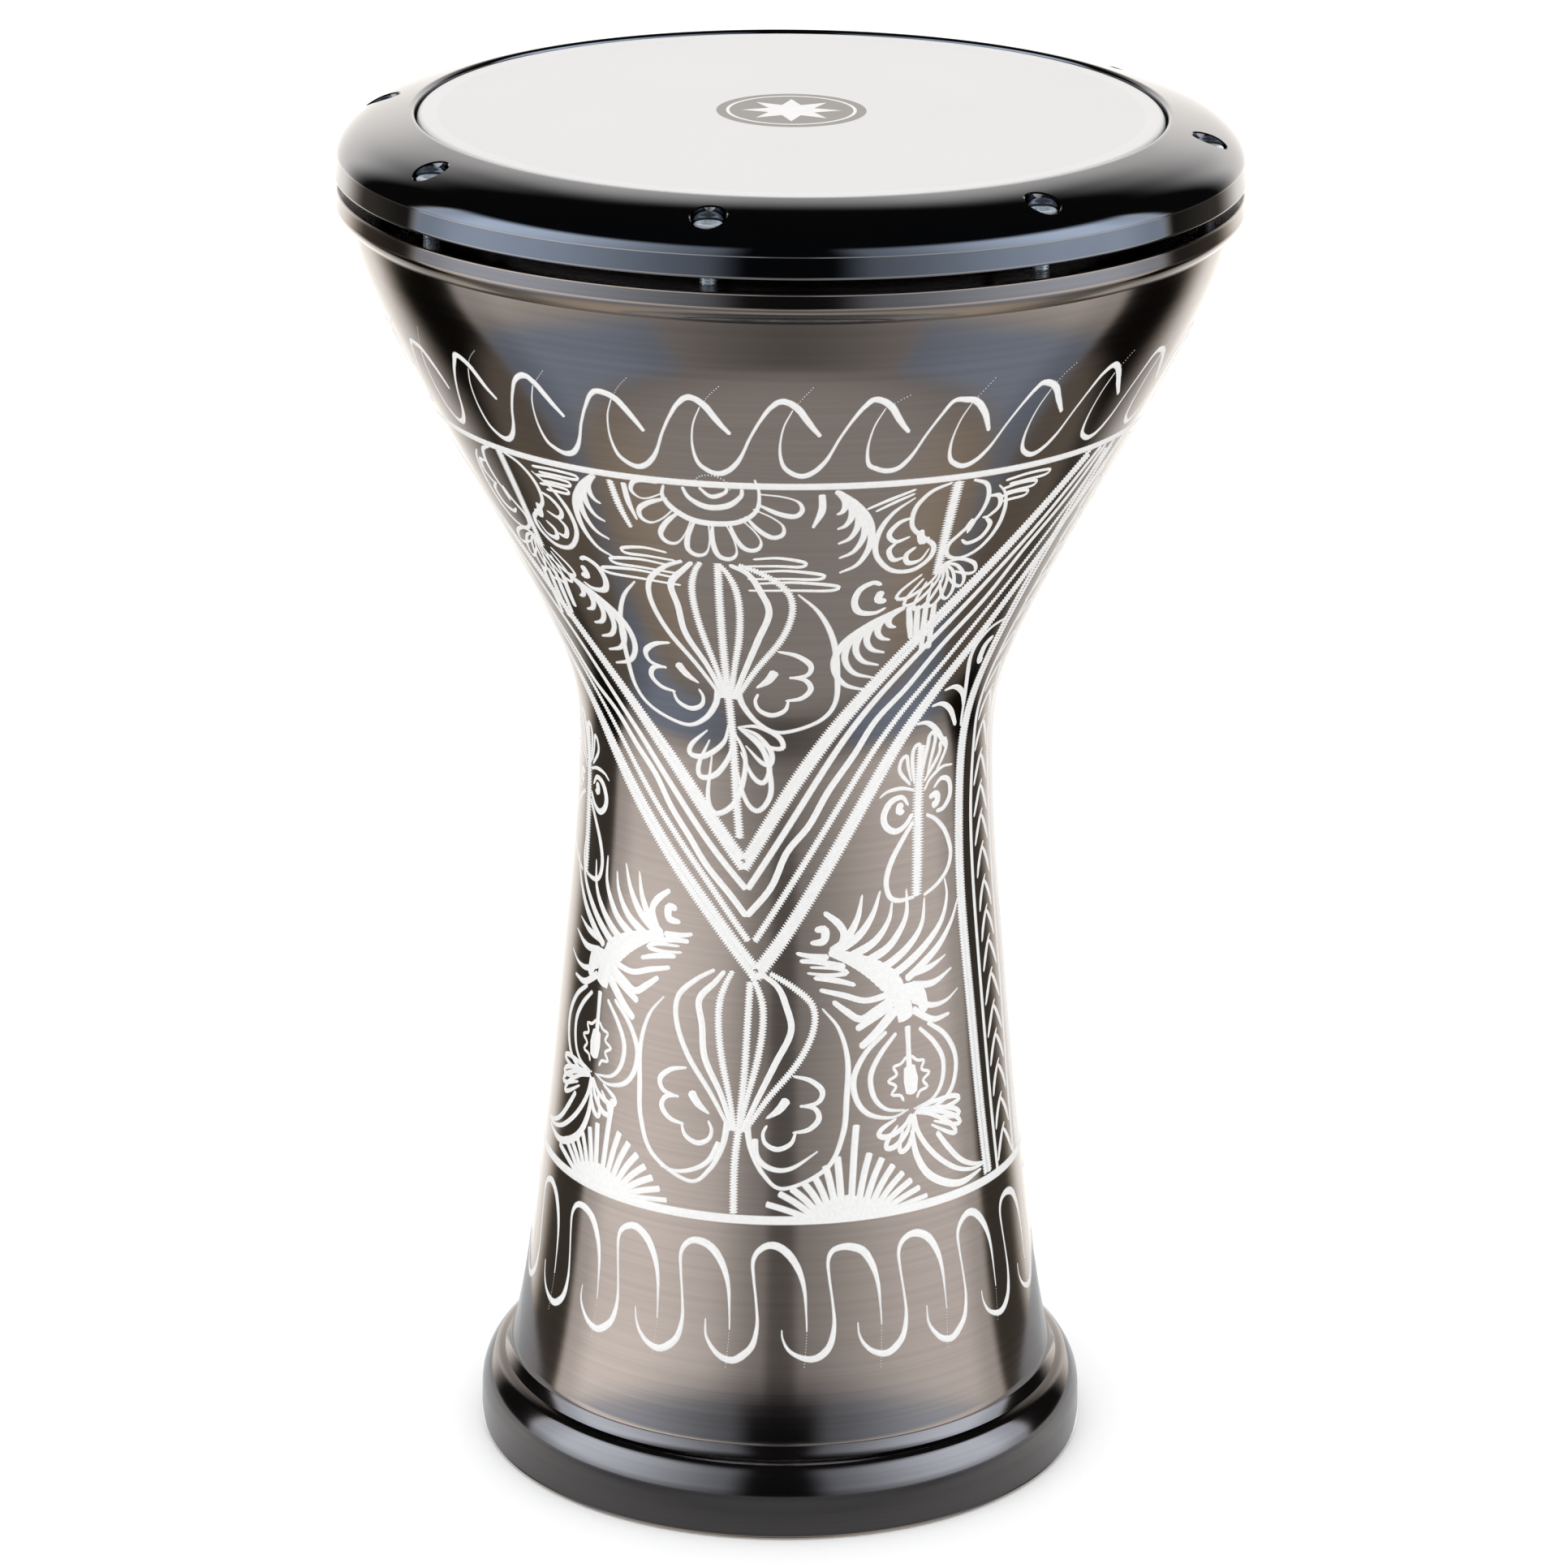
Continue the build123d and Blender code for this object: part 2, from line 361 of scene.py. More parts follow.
def film_material():
    """White polyester with a painted highlight: a little lighter where it leaves the flat face for the
    bearing edge.
    """
    made = bpy.data.materials.new("polyester_film")
    made.use_nodes = True
    n = Nodes(made.node_tree)
    place = n.new("ShaderNodeTexCoord").outputs["Object"]
    flat = n.new("ShaderNodeVectorMath", operation="MULTIPLY")
    n.feed(flat.inputs[0], place)
    flat.inputs[1].default_value = (1.0 / MM, 1.0 / MM, 0.0)
    radius = n.new("ShaderNodeVectorMath", operation="LENGTH")
    n.feed(radius.inputs[0], flat.outputs[0])
    mottle = n.noise(30.0, 4.0, place)
    # Painted highlight: the film is lighter beyond 106 mm from the middle, over the bearing edge, on top of
    # random mottle.
    shade = n.math("MULTIPLY_ADD", mottle, 0.3, n.product(n.fade(radius.outputs["Value"], 105.6, 106.4), 0.6))
    shader = n.new("ShaderNodeBsdfPrincipled")
    n.feed(shader.inputs["Base Color"],
           n.ramp(shade, [(0.0, (0.515, 0.515, 0.52)), (1.0, (0.56, 0.56, 0.565))]))
    n.feed(shader.inputs["Roughness"], n.math("MULTIPLY_ADD", mottle, 0.06, 0.36))
    n.tree.links.new(shader.outputs[0], n.new("ShaderNodeOutputMaterial").inputs[0])
    return made


film_white = film_material()
zinc = material("bright_zinc", (0.80, 0.86, 0.90), (0.60, 0.66, 0.72), 0.7, 0.30, 0.08, scale=900.0)
hoop_metal = material("mill_aluminium", (0.76, 0.76, 0.77), (0.68, 0.68, 0.69), 1.0, 0.36, 0.05, scale=200.0)


# ================================================================ shell

foot_edge = arc((FOOT_R - FOOT_EDGE, FOOT_EDGE), FOOT_EDGE, -90, 0)
shoulder = arc((FOOT_R - FOOT_DRAFT - SHOULDER_R, FOOT_TOP), SHOULDER_R, 0, SHOULDER_TURN, 14)
crest_centre = arc(shoulder[-1], -CREST_R, SHOULDER_TURN, SHOULDER_TURN, 1)[0]
crest = arc(crest_centre, CREST_R, SHOULDER_TURN, SHOULDER_TURN + CREST_TURN)
cove_top = (BODY_LOW[0] + COVE_LEAN, BODY_LOW[1] - COVE_LAND)
cove = spline([COVE_FOOT, cove_top], (-0.64, 0.77), (-0.37, 0.93), 0.45)
bell = spline([BODY_LOW, *BODY_LINE, BODY_TOP], (-0.26, 1.0), (0.22, 1.0), 2.0)
flange = spline([BODY_TOP, FLANGE_FILLET, (FLANGE_R, FLANGE_Z)], (1.0, 0.75), (-0.1, 1.0), 0.6)
along = np.gradient(bell, axis=0)
along /= np.hypot(*along.T)[:, None]
inner = (bell + np.column_stack((-along[:, 1], along[:, 0])) * WALL)[2:-2][::-1]


def shell_radius(z):
    """Outer radius of the bell at a height."""
    return np.interp(z, bell[:, 1], bell[:, 0])


def shell_normal(z):
    """Outward (radial, vertical) direction of the bell's surface."""
    return np.interp(z, bell[:, 1], along[:, 1]), -np.interp(z, bell[:, 1], along[:, 0])


flange_land_top = (FLANGE_TOP[0], FLANGE_TOP[1] + FLANGE_LAND)
flange_in = (FLANGE_TOP[0] - FLANGE_LAND, SHELF_TOP)
goblet = ringed("goblet_shell", np.vstack((
    [(FOOT_BORE_R, 0)], foot_edge, shoulder, crest[1:], facet(COVE_FOOT, cove[1])[:2], cove[1:-1],
    facet(cove[-1], BODY_LOW), bell, flange[1:],
    facet(flange[-1], FLANGE_TOP)[1:], facet(FLANGE_TOP, flange_land_top), facet(flange_land_top, flange_in),
    [flange_in, (SHELF_OUT, SHELF_TOP), (SHELF_OUT, SHELF_BOTTOM + 1.7)],
    inner[::2], [(FOOT_BORE_R, FOOT_BORE_TOP)])), SHELL_SEGMENTS)
neck = ringed("shell_neck", np.vstack((
    [(NECK_R, SHELF_BOTTOM)], arc((NECK_R - EDGE_ROUND, EDGE_TOP - EDGE_ROUND), EDGE_ROUND, 0, 90, 6),
    [(NECK_R - NECK_WALL, EDGE_TOP - EDGE_ROUND), (NECK_R - NECK_WALL, SHELF_BOTTOM)])), SMALL_SEGMENTS)
shelf = ringed("shell_bolt_shelf", [
    (SHELF_OUT, SHELF_TOP), (SHELF_IN - LAP, SHELF_TOP), (SHELF_IN - LAP, SHELF_BOTTOM),
    (inner[0, 0] - 4.0, SHELF_BOTTOM), (inner[0, 0] + LAP, inner[0, 1] - LAP),
    (SHELF_OUT, SHELF_BOTTOM + 4.0)], SMALL_SEGMENTS)


def boss(number, place):
    """Boss under the shelf, flattened where it meets the bowl's wall."""
    segments = 32
    turn = np.arange(segments) * 2.0 * math.pi / segments
    rings = []
    for z, room in zip((BOSS_BOTTOM, SHELF_TOP - LAP), BOSS_REACH):
        x = place[0] + BOSS_R * np.sin(turn)
        y = place[1] - BOSS_R * np.cos(turn)
        pull = np.minimum(1.0, room / np.hypot(x, y))
        rings.append(np.column_stack((x * pull, y * pull, np.full(segments, z))))
    ring = list(range(segments))
    faces = [(i, (i + 1) % segments, segments + (i + 1) % segments, segments + i) for i in ring]
    faces += [tuple(reversed(ring)), tuple(segments + i for i in ring)]
    return piece("boss_" + str(number), np.vstack(rings), faces)


def tapped_hole(number, place):
    """Cutter for the hole that a screw's thread goes into."""
    return ringed("hole_" + str(number), [(TAPPED_R, BOSS_BOTTOM - 1.0), (TAPPED_R, SHELF_TOP + 1.0)], 32,
                  closed=False, at=place)


carve(shelf, [boss(number, place) for number, place in bolt_places()], "UNION")
for part in (shelf, goblet):
    carve(part, [tapped_hole(number, place) for number, place in bolt_places()], "DIFFERENCE")
for part in (goblet, neck, shelf):
    finish_piece(part, "shell", shell_metal)
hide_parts("shell")


# ================================================================ rim

crown_foot = (RIM_WALL_TOP[0], RIM_WALL_TOP[1] + RIM_LAND)
crown = spline([crown_foot, *RIM_CROWN, RIM_CREST], (-0.33, 1.0), (-1.0, 0.2), 0.7)
lip = arc((RIM_BORE + RIM_ROUND, RIM_INNER_TOP - 0.1), RIM_ROUND, 94, 176, 6)
rim_edge = arc((RIM_R - RIM_EDGE, RIM_BOTTOM + RIM_EDGE), RIM_EDGE, -90, 8, 6)
rim = ringed("tuning_rim_cast", np.vstack((
    [(HOOP_SEAT, RIM_BOTTOM)], rim_edge, facet(rim_edge[-1], RIM_WALL_TOP)[1:],
    facet(RIM_WALL_TOP, crown[0]), crown[:-1], lip,
    [(RIM_BORE, HOOP_TOP), (HOOP_SEAT, HOOP_TOP)])), RIM_SEGMENTS)


def crown_height(radius):
    """Height of the rim's top at a radius."""
    return np.interp(-radius, -crown[:, 0], crown[:, 1])


def bolt_cutter(number, place):
    """Through hole, counterbore and the small chamfer where it breaks out of the crown."""
    segments = 72
    turn = np.arange(segments) * 2.0 * math.pi / segments

    def surface(radius):
        return crown_height(np.hypot(place[0] + radius * np.sin(turn), place[1] - radius * np.cos(turn)))

    wide = COUNTERBORE_R + COUNTERBORE_CHAMFER
    return ringed("cutter_" + str(number), [
        (RIM_HOLE_R, RIM_BOTTOM - 1.0), (RIM_HOLE_R, SEAT_Z), (COUNTERBORE_R, SEAT_Z),
        (COUNTERBORE_R, surface(COUNTERBORE_R) - 0.4), (wide, surface(wide) + 0.05),
        (wide, RIM_CREST[1] + 4.0)], segments, closed=False, at=place)


carve(rim, [bolt_cutter(number, place) for number, place in bolt_places()], "DIFFERENCE")
finish_piece(rim, "rim", rim_metal)
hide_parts("tuning_rim")


# ================================================================ head

film_in = NECK_R + FILM_GAP
film_out = film_in + FILM
under = HOOP_BOTTOM - FILM_GAP - FILM
wrap_in = film_out + FLESH_HOOP_W + 2 * FILM_GAP
bend = EDGE_ROUND + FILM_GAP
top_in = EDGE_TOP + FILM_GAP
top = top_in + FILM
bend_centre = (film_in - bend, top_in - bend)
collar = np.arange(WRAP_TOP, top_in - bend, 0.8)
face = np.arange(4.0, film_in - bend, 6.0)
film = ringed("drum_head", np.vstack((
    np.column_stack((face, np.full(len(face), top))),
    arc(bend_centre, bend + FILM, 90, 0, 8), np.column_stack((np.full(len(collar), film_out), collar[::-1])),
    [(film_out, under + FILM), (wrap_in, under + FILM), (wrap_in, WRAP_TOP), (wrap_in + FILM, WRAP_TOP),
     (wrap_in + FILM, under), (film_in, under)],
    np.column_stack((np.full(len(collar), film_in), collar)), arc(bend_centre, bend, 0, 90, 8),
    np.column_stack((face[::-1], np.full(len(face), top_in))))), FILM_SEGMENTS, closed=False, sharp=60.0)
finish_piece(film, None, film_white)
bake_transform(film)
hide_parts("head_film")


def medallion():
    """Plain round mark in the middle of the head: grey disc, white ring and eight-pointed star."""
    disc_top = top + PRINT_T
    disc = ringed("head_medallion", [(MEDALLION_R, top - 0.01), (MEDALLION_R, disc_top)], 96, closed=False)
    finish_piece(disc, "shell", print_grey)
    low, high = disc_top - 0.01, disc_top + 0.03
    out, bore = MEDALLION_RING
    ring = ringed("medallion_ring", [(out, low), (out, high), (bore, high), (bore, low)], 96)
    finish_piece(ring, "shell", print_white)
    points = np.tile(MEDALLION_STAR, 8)
    star = ringed("medallion_star", [(points, low), (points, high)], len(points), closed=False)
    finish_piece(star, "shell", print_white)


medallion()


# ================================================================ screws

def thread_rings():
    """Rings of the shank from its tip to the head, each turned a little further along the thread."""
    segments = 24
    turn = np.arange(segments) / segments
    rings = [(SHANK_R - 0.9, HEAD_UNDER - SHANK), (SHANK_R - THREAD_DEPTH, HEAD_UNDER - SHANK + 0.5)]
    for z in np.arange(HEAD_UNDER - SHANK + 0.6, HEAD_UNDER - 2.2, PITCH / 6.0):
        phase = (z / PITCH + turn) % 1.0
        rings.append((SHANK_R - THREAD_DEPTH * np.abs(2.0 * phase - 1.0), z))
    rings.append((SHANK_R, HEAD_UNDER - 2.0))
    rings.append((SHANK_R, HEAD_UNDER + 0.1))
    return segments, rings


def screw(number, place):
    """Socket-head screw: knurled head with a hexagon socket, and a threaded shank."""
    segments = 72
    turn = np.arange(segments) * 360.0 / segments
    hexagon = HEX / 2.0 / np.cos(((turn % 60.0) - 30.0) * RAD)
    knurl = HEAD_R - KNURL_DEPTH * (np.arange(segments) % 2)
    head_top = HEAD_UNDER + HEAD_H
    head = ringed("screw_head_" + str(number), [
        (SHANK_R, HEAD_UNDER), (HEAD_R - 0.25, HEAD_UNDER), (knurl, HEAD_UNDER + 0.25),
        (knurl, head_top - 0.9), (HEAD_R, head_top - 0.75), (HEAD_R, head_top - 0.4),
        (HEAD_R - 0.4, head_top), (hexagon + 0.22, head_top), (hexagon, head_top - 0.2),
        (hexagon, head_top - HEX_DEPTH), (0.8, head_top - HEX_DEPTH - 0.7)],
        segments, closed=False, at=place)
    sides, rings = thread_rings()
    shank = ringed("screw_shank_" + str(number), rings, sides, closed=False, at=place, sharp=20.0)
    for part in (head, shank):
        finish_piece(part, "bolt_" + str(number), zinc)
    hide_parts("tuning_bolt_" + str(number))


for number, place in bolt_places():
    screw(number, place)
for name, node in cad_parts.items():
    kept = zinc if name.startswith("washer") else hoop_metal if name == "flesh_hoop" else None
    if kept:
        node.data.materials.clear()
        node.data.materials.append(kept)


# ================================================================ engraved pattern
# A cut is (points, widths, kind): azimuth in degrees from the front and height in mm, widths in mm.
# Kinds: plain, fringe (toothed edges), saw (rocked from edge to edge) and dots.

PATTERN_BASE = -3       # the pattern's heights are counted from here
UPPER_RING = (344.2, 2.7)      # height and width of the rings that bound it
LOWER_RING = (100.9, 3.3)
UPPER_WAVES = 29
LOWER_WAVES = 21
GRASS_FOOT = 101.5
STRIP_MIDDLE = 68.5            # azimuth of the upright border

strokes = []


def cut(points, width, kind="plain"):
    """One cut through (azimuth, height) points; width in mm, one value or several along it."""
    strokes.append((points, width if isinstance(width, (tuple, list)) else (width,), kind))


def local(points, a0, z0, side):
    """Millimetres right of and above (a0, z0), mirrored when side is -1."""
    return [(a0 + side * x / (RAD * shell_radius(z0 + y + PATTERN_BASE)), z0 + y) for x, y in points]


def cuts(a0, z0, side, items):
    """Several cuts of (points, width) or (points, width, kind), in millimetres from (a0, z0)."""
    for points, *look in items:
        cut(local(points, a0, z0, side), *look)


def both(a0, z0, items):
    """The same cuts on both sides of (a0, z0)."""
    cuts(a0, z0, 1, items)
    cuts(a0, z0, -1, items)


def leaf(a0, z0, side, tip, width, bend=0.18, kind="plain"):
    """Slim loop from (a0, z0) to the tip and back."""
    x, y = tip
    n = (-y * bend, x * bend)
    cuts(a0, z0, side, [([(0, 0), (x * .35 + n[0], y * .35 + n[1]),
                          (x * .8 + n[0] * .9, y * .8 + n[1] * .9), (x, y),
                          (x * .85 - n[0] * .6, y * .85 - n[1] * .6),
                          (x * .4 - n[0] * .7, y * .4 - n[1] * .7)],
                         (0.9, width, width * 1.2, width, 0.8), kind)])


def wave_bands():
    """Rows of curling waves round the bowl and round the lower bell."""
    for k in range(UPPER_WAVES):
        a = k * 360 / UPPER_WAVES - 13.5
        high = 1.1 * math.sin(2.3 * k) + 0.6 * math.sin(5.1 * k + 1)
        drift = 0.35 * math.sin(3.7 * k)
        cut([(a + 4.4 + drift, 377.5 + 1.5 * high), (a + 3, 374.6 + high), (a + 1.6, 371)], 0.45, "dots")
        cut([(a + 1.6, 371), (a + 0.4, 365), (a - 0.1, 358), (a + 0.3, 352.3),
             (a + 1.6, 349.7 - 0.4 * high), (a + 3.3, 348.7 - 0.4 * high), (a + 5.1, 350.3),
             (a + 6.7, 354.5), (a + 8.1, 361), (a + 9.6, 367), (a + 11.1, 371.8),
             (a + 12.7 + drift, 373.5 + high), (a + 14.6, 371.6 + 0.5 * high), (a + 16.4, 366.3),
             (a + 17.9, 361.6 + high)],
            (0.5, 0.7, 0.9, 1.3, 1.9, 2.2, 1.9, 1.3, 1.2, 1.3, 1.7, 2.4, 2.6, 2.3, 1.5), "fringe")
    for k in range(LOWER_WAVES):
        a = k * 360 / LOWER_WAVES - 2.5
        high = math.sin(1.9 * k + 2) + 0.6 * math.sin(4.3 * k)
        drift = 0.4 * math.sin(3.1 * k)
        cut([(a - 14.4 + drift, 68 + high), (a - 14.2, 64), (a - 13, 60.5), (a - 10.8, 57.8 - 0.4 * high),
             (a - 8, 56.8 - 0.4 * high), (a - 5.6, 58.4), (a - 3.6, 61.8), (a - 2.7, 68), (a - 3, 75),
             (a - 3.7, 83), (a - 3.9, 88), (a - 2.9, 91.2), (a - 0.6 + drift, 92.9 + 0.5 * high),
             (a + 2, 92.5 + 0.5 * high), (a + 4.6, 90), (a + 6.7, 85), (a + 7.8, 79), (a + 8.2, 71),
             (a + 8.3, 66)],
            (0.6, 1.2, 1.8, 2.5, 2.8, 2.3, 1.6, 1.2, 1.1, 1.2, 1.5, 2.2, 2.9, 3, 2.5, 1.8, 1.3, 0.9, 0.6),
            "fringe")
        cut([(a + 8.3, 66), (a + 8.1, 61), (a + 7.7, 54 + high)], 0.4, "dots")


def rings():
    """Plain rings that bound the pattern."""
    for z, w in (UPPER_RING, LOWER_RING):
        cut([(a, z + 0.5 * math.sin(2 * RAD * (a + 30))) for a in range(-180, 181, 12)], w, "fringe")


def tulip(a0, z0, drop, height):
    """Stems that fan out of one foot, two broad petals round them and scallops inside."""
    for x, width, kind in ((-20.5, 2.2, "fringe"), (-12.6, 2.3, "plain"), (-6.6, 2.4, "saw"),
                           (7, 2.4, "saw"), (15, 2.2, "plain"), (22.5, 2.2, "saw")):
        w = 0.7 if kind == "plain" else 0
        cuts(a0, z0, 1, [([(0.10 * x, 1), (0.42 * x, 12), (0.80 * x - w, 23), (x + w, 33),
                           (0.98 * x - w, 41), (0.70 * x + w, 47), (0.40 * x, height)],
                          (1.6, 1.9, width, width, width, 1.5), kind)])
    petal = [([(25, 40), (30.5, 33), (33.5, 23), (33.5, 11), (31 + .1 * drop, 0),
               (24.5 + .2 * drop, -2 - .5 * drop), (15, -3 - .8 * drop), (8.5, -2 - .6 * drop),
               (4.4, 1 - .3 * drop), (3, 4)], (0.9, 1.7, 2.2, 2.4, 2.2, 1.9, 1.6, 1.6, 2.2, 2.6), "fringe")]
    both(a0, z0, petal)
    scallops = [
        ([(16.5, 19), (22, 17.5), (25.8, 14), (24.5, 10.4), (19, 9.2)], (0.8, 1.6, 2, 1.5, 0.8)),
        ([(19, 9.6), (23.6, 8.6), (25, 5.2), (22, 2), (17, 1)], (0.8, 1.6, 2, 1.6, 0.8)),
        ([(18, 1.2), (16.6, -2.4), (12.6, -4.2), (9, -2.6), (8, 0.5), (9.2, 3.4)],
         (0.8, 1.6, 1.8, 1.3, 0.9)),
        ([(15.2, 11.8), (12.6, 8.2), (8.8, 5.4)], (3.2, 2.6, 0.7)),
    ]
    both(a0, z0, scallops)


def petal(a0, z0, angle, start, length, w):
    """Loop that points away from (a0, z0) at an angle."""
    c, s = math.cos(angle * RAD), math.sin(angle * RAD)
    middle, end = start + 0.5 * length, start + length
    loop = ((start, -2), (middle, -3.4), (end - 1.6, -2.9), (end, 0), (end - 1.8, 2.7), (middle, 3.1),
            (start, 1.8))
    points = [(c * u - s * v, (s * u + c * v) * 0.96) for u, v in loop]
    cuts(a0, z0, 1, [(points, (1, w, w * 1.15, w, 0.9, 0.8, 0.7), "fringe")])


def daisy():
    """Half daisy that hangs from the upper ring: arcs for its heart and petals round them."""
    a0, z0 = -12, 344
    cuts(a0, z0, 1, [
        ([(-4.5, 0), (-2.6, 3), (1.6, 3.6), (5.2, 1.8), (6, -1)], 0.8, "dots"),
        ([(-3.2, -0.8), (0.2, -3.8), (4.4, -2.2), (5.2, 0)], (1.2, 2, 1.2), "fringe"),
        ([(-8.2, -1), (-6.5, -4.8), (-1.6, -7.6), (4.6, -6.8), (8.8, -3.4), (9.6, -0.6)],
         (1.3, 2.4, 2.4, 1.4), "fringe"),
        ([(-13.8, -1), (-14.6, -5.2), (-11.6, -9.6), (-6, -12.8), (1.5, -13.4), (8.2, -12), (13, -8),
          (14.4, -2), (13.6, 3)], (1, 2.4, 2.5, 2.3, 2, 1.5, 1), "fringe"),
    ])
    for angle, start, length, w in ((-168, 15.5, 9.5, 1.7), (-146, 14.6, 12.5, 1.9),
                                    (-124, 14.2, 13.5, 1.9), (-104, 14.2, 13.5, 1.9),
                                    (-84, 14.2, 13.5, 1.9), (-64, 14.2, 12, 1.8), (-42, 14.4, 12, 1.8),
                                    (-18, 14.6, 13, 1.9)):
        petal(a0, z0 + 0.5, angle, start, length, w)


def shell_fan(a0, z0, side, n, reach=1):
    """Nested arcs that hang from one point, like half a scallop shell."""
    for i in range(n):
        f = 1 - i / (n + 0.6)
        w = reach * f
        cuts(a0, z0, side, [([(0, 0), (6.5 * w, -5 * f), (11.2 * w, -12 * f), (11.8 * w, -20 * f),
                              (8.8 * w, -26.5 * f), (3.5 * w, -29.5 * f)],
                             (1.8, 2.6, 2.8, 2.7, 2, 1), "fringe")])


def side_flower(a0, z0, side):
    """Stem between two heart-shaped halves with a tuft of leaves below."""
    cuts(a0, z0, side, [
        ([(-2, 16), (-1.2, 6), (0, -6), (1, -17)], (4.2, 4.2, 3.8, 3.2), "saw"),
        ([(-4, 16), (-10, 13.5), (-13.4, 8), (-12.4, 1.5), (-7.4, -3), (-3.2, -6.5), (-3.4, -11),
          (-8, -14.5), (-15, -13.5), (-21, -7.5), (-22.4, 0), (-20, 7), (-14.5, 12)],
         (1.2, 1.8, 2.1, 1.8, 1.8, 2.2, 2, 1.8, 2, 2.2, 2.2, 1.6, 0.8), "fringe"),
        ([(3, 16), (8.4, 13.5), (10.6, 8), (9.2, 2), (5, -3), (1.8, -7), (3, -11), (8, -12.5), (14, -10),
          (18, -4), (18.6, 3), (16.5, 9), (13, 12.5)],
         (1.2, 1.8, 2.1, 1.8, 1.8, 2, 1.6, 1.6, 2, 2.2, 2, 1.4, 0.8), "fringe"),
        ([(-12.8, 5), (-17, 3.4), (-19, -0.6), (-16.2, -3.4), (-12, -2)], (0.7, 1.6, 1.9, 1.5, 0.7)),
        ([(-15.6, -3.4), (-17.4, -6.4), (-15, -10), (-11.8, -9.4)], (0.7, 1.8, 1.8, 0.8)),
        ([(-9, -6), (-11.4, -8.6), (-10, -11.6), (-6.2, -11), (-4.4, -7)], (1, 1.8, 1.8, 1, 0.6)),
        ([(-9.5, 0), (-7.6, -4.4), (-5.6, -3)], (2.6, 2.6, 1.6)),
        ([(10.8, 9), (14.6, 8.4), (16, 4.4), (13, 1.4), (10.8, 1.4)], (0.8, 1.7, 1.9, 1.5, 0.7)),
        ([(12, 1.2), (14.8, -1.8), (13, -6), (8.6, -7.4), (5.8, -5.6)], (0.8, 1.9, 1.9, 1.5, 0.8)),
        ([(5.4, -3), (8, 1), (7.2, -3.6)], (1.2, 2.4, 1.2)),
    ])
    for tip in ((-12, -11), (-8.5, -14), (-4.5, -16), (0.5, -15.5), (5.5, -13.5), (9.5, -9.5), (13, -5)):
        leaf(a0 + side * 1.5, z0 - 13.5, side, tip, 1.2)


def hook(a0, z0, side):
    """Small curled hook with a thick heart."""
    cuts(a0, z0, side, [([(3.2, 4.6), (0.4, 5.6), (-3.2, 3.4), (-4.2, -1), (-2.2, -4.8), (2.6, -5.6),
                          (6, -4)], (1.4, 1.9, 2.3, 2.3, 1.7, 0.9)),
                        ([(3.6, 2.4), (3, -0.8), (5.6, -1.6)], (2.6, 2.8, 1.8))])


def chevrons():
    """Five lines that fall from the upper ring to a point and rise again."""
    def arms(left, right, width, kind, offsets=(0,), wave=0):
        for arm in (left, right):
            for d in offsets:
                cut([(a + (wave if i % 2 else -wave), z + d) for i, (a, z) in enumerate(arm)], width, kind)

    arms([(-11.2, 213), (-20, 226), (-30, 240.5), (-40, 255), (-50, 273.5), (-60, 296), (-70, 320),
          (-79, 343)],
         [(-10.6, 213), (0, 234), (10, 252), (20, 269.5), (30, 288), (40, 307), (48, 325), (55, 343)],
         (3, 3), "saw", (1.6, -1.6))
    arms([(-10.2, 205), (-20, 217.5), (-30, 231.5), (-40, 245.5), (-50, 261), (-60, 283), (-72, 312),
          (-83, 343)],
         [(-9.8, 205), (0, 223.5), (10, 242.5), (20, 261.5), (30, 279.5), (40, 298), (50, 320), (58, 343)],
         (2.4, 2.8), "fringe")
    arms([(-9.5, 196.5), (-15, 203), (-21, 211.5), (-27, 219.5), (-32, 228), (-38, 237), (-44, 245.5),
          (-51, 254.5), (-58, 263.5), (-65, 277), (-73, 297), (-80, 318), (-88, 343)],
         [(-9.5, 196.5), (-4, 206), (1, 217), (6, 225.5), (12, 236), (18, 247.5), (24, 258.5), (30, 269),
          (37, 282), (44, 297), (50, 312), (55, 327), (60, 343)], (2.2, 2.4), "plain", wave=0.45)
    arms([(-9.4, 189), (-20, 205), (-30, 218.5), (-40, 231.5), (-50, 245.5), (-60, 261.5), (-70, 284),
          (-81, 312), (-92, 343)],
         [(-7.6, 189), (0, 203.5), (10, 222.5), (20, 241), (30, 259), (40, 277), (50, 300), (57, 321),
          (62.5, 343)], (2.2, 2.4), "saw")
    arms([(-7.2, 179), (-20, 197), (-30, 210), (-40, 223), (-50, 236), (-60, 250), (-70, 268), (-82, 300),
          (-92, 328), (-97, 343)],
         [(-6.8, 179), (0, 190.5), (10, 209.5), (20, 228.5), (30, 247), (40, 265.5), (50, 286), (60, 316),
          (67, 343)], (3, 3), "saw", (1.6, -1.6))


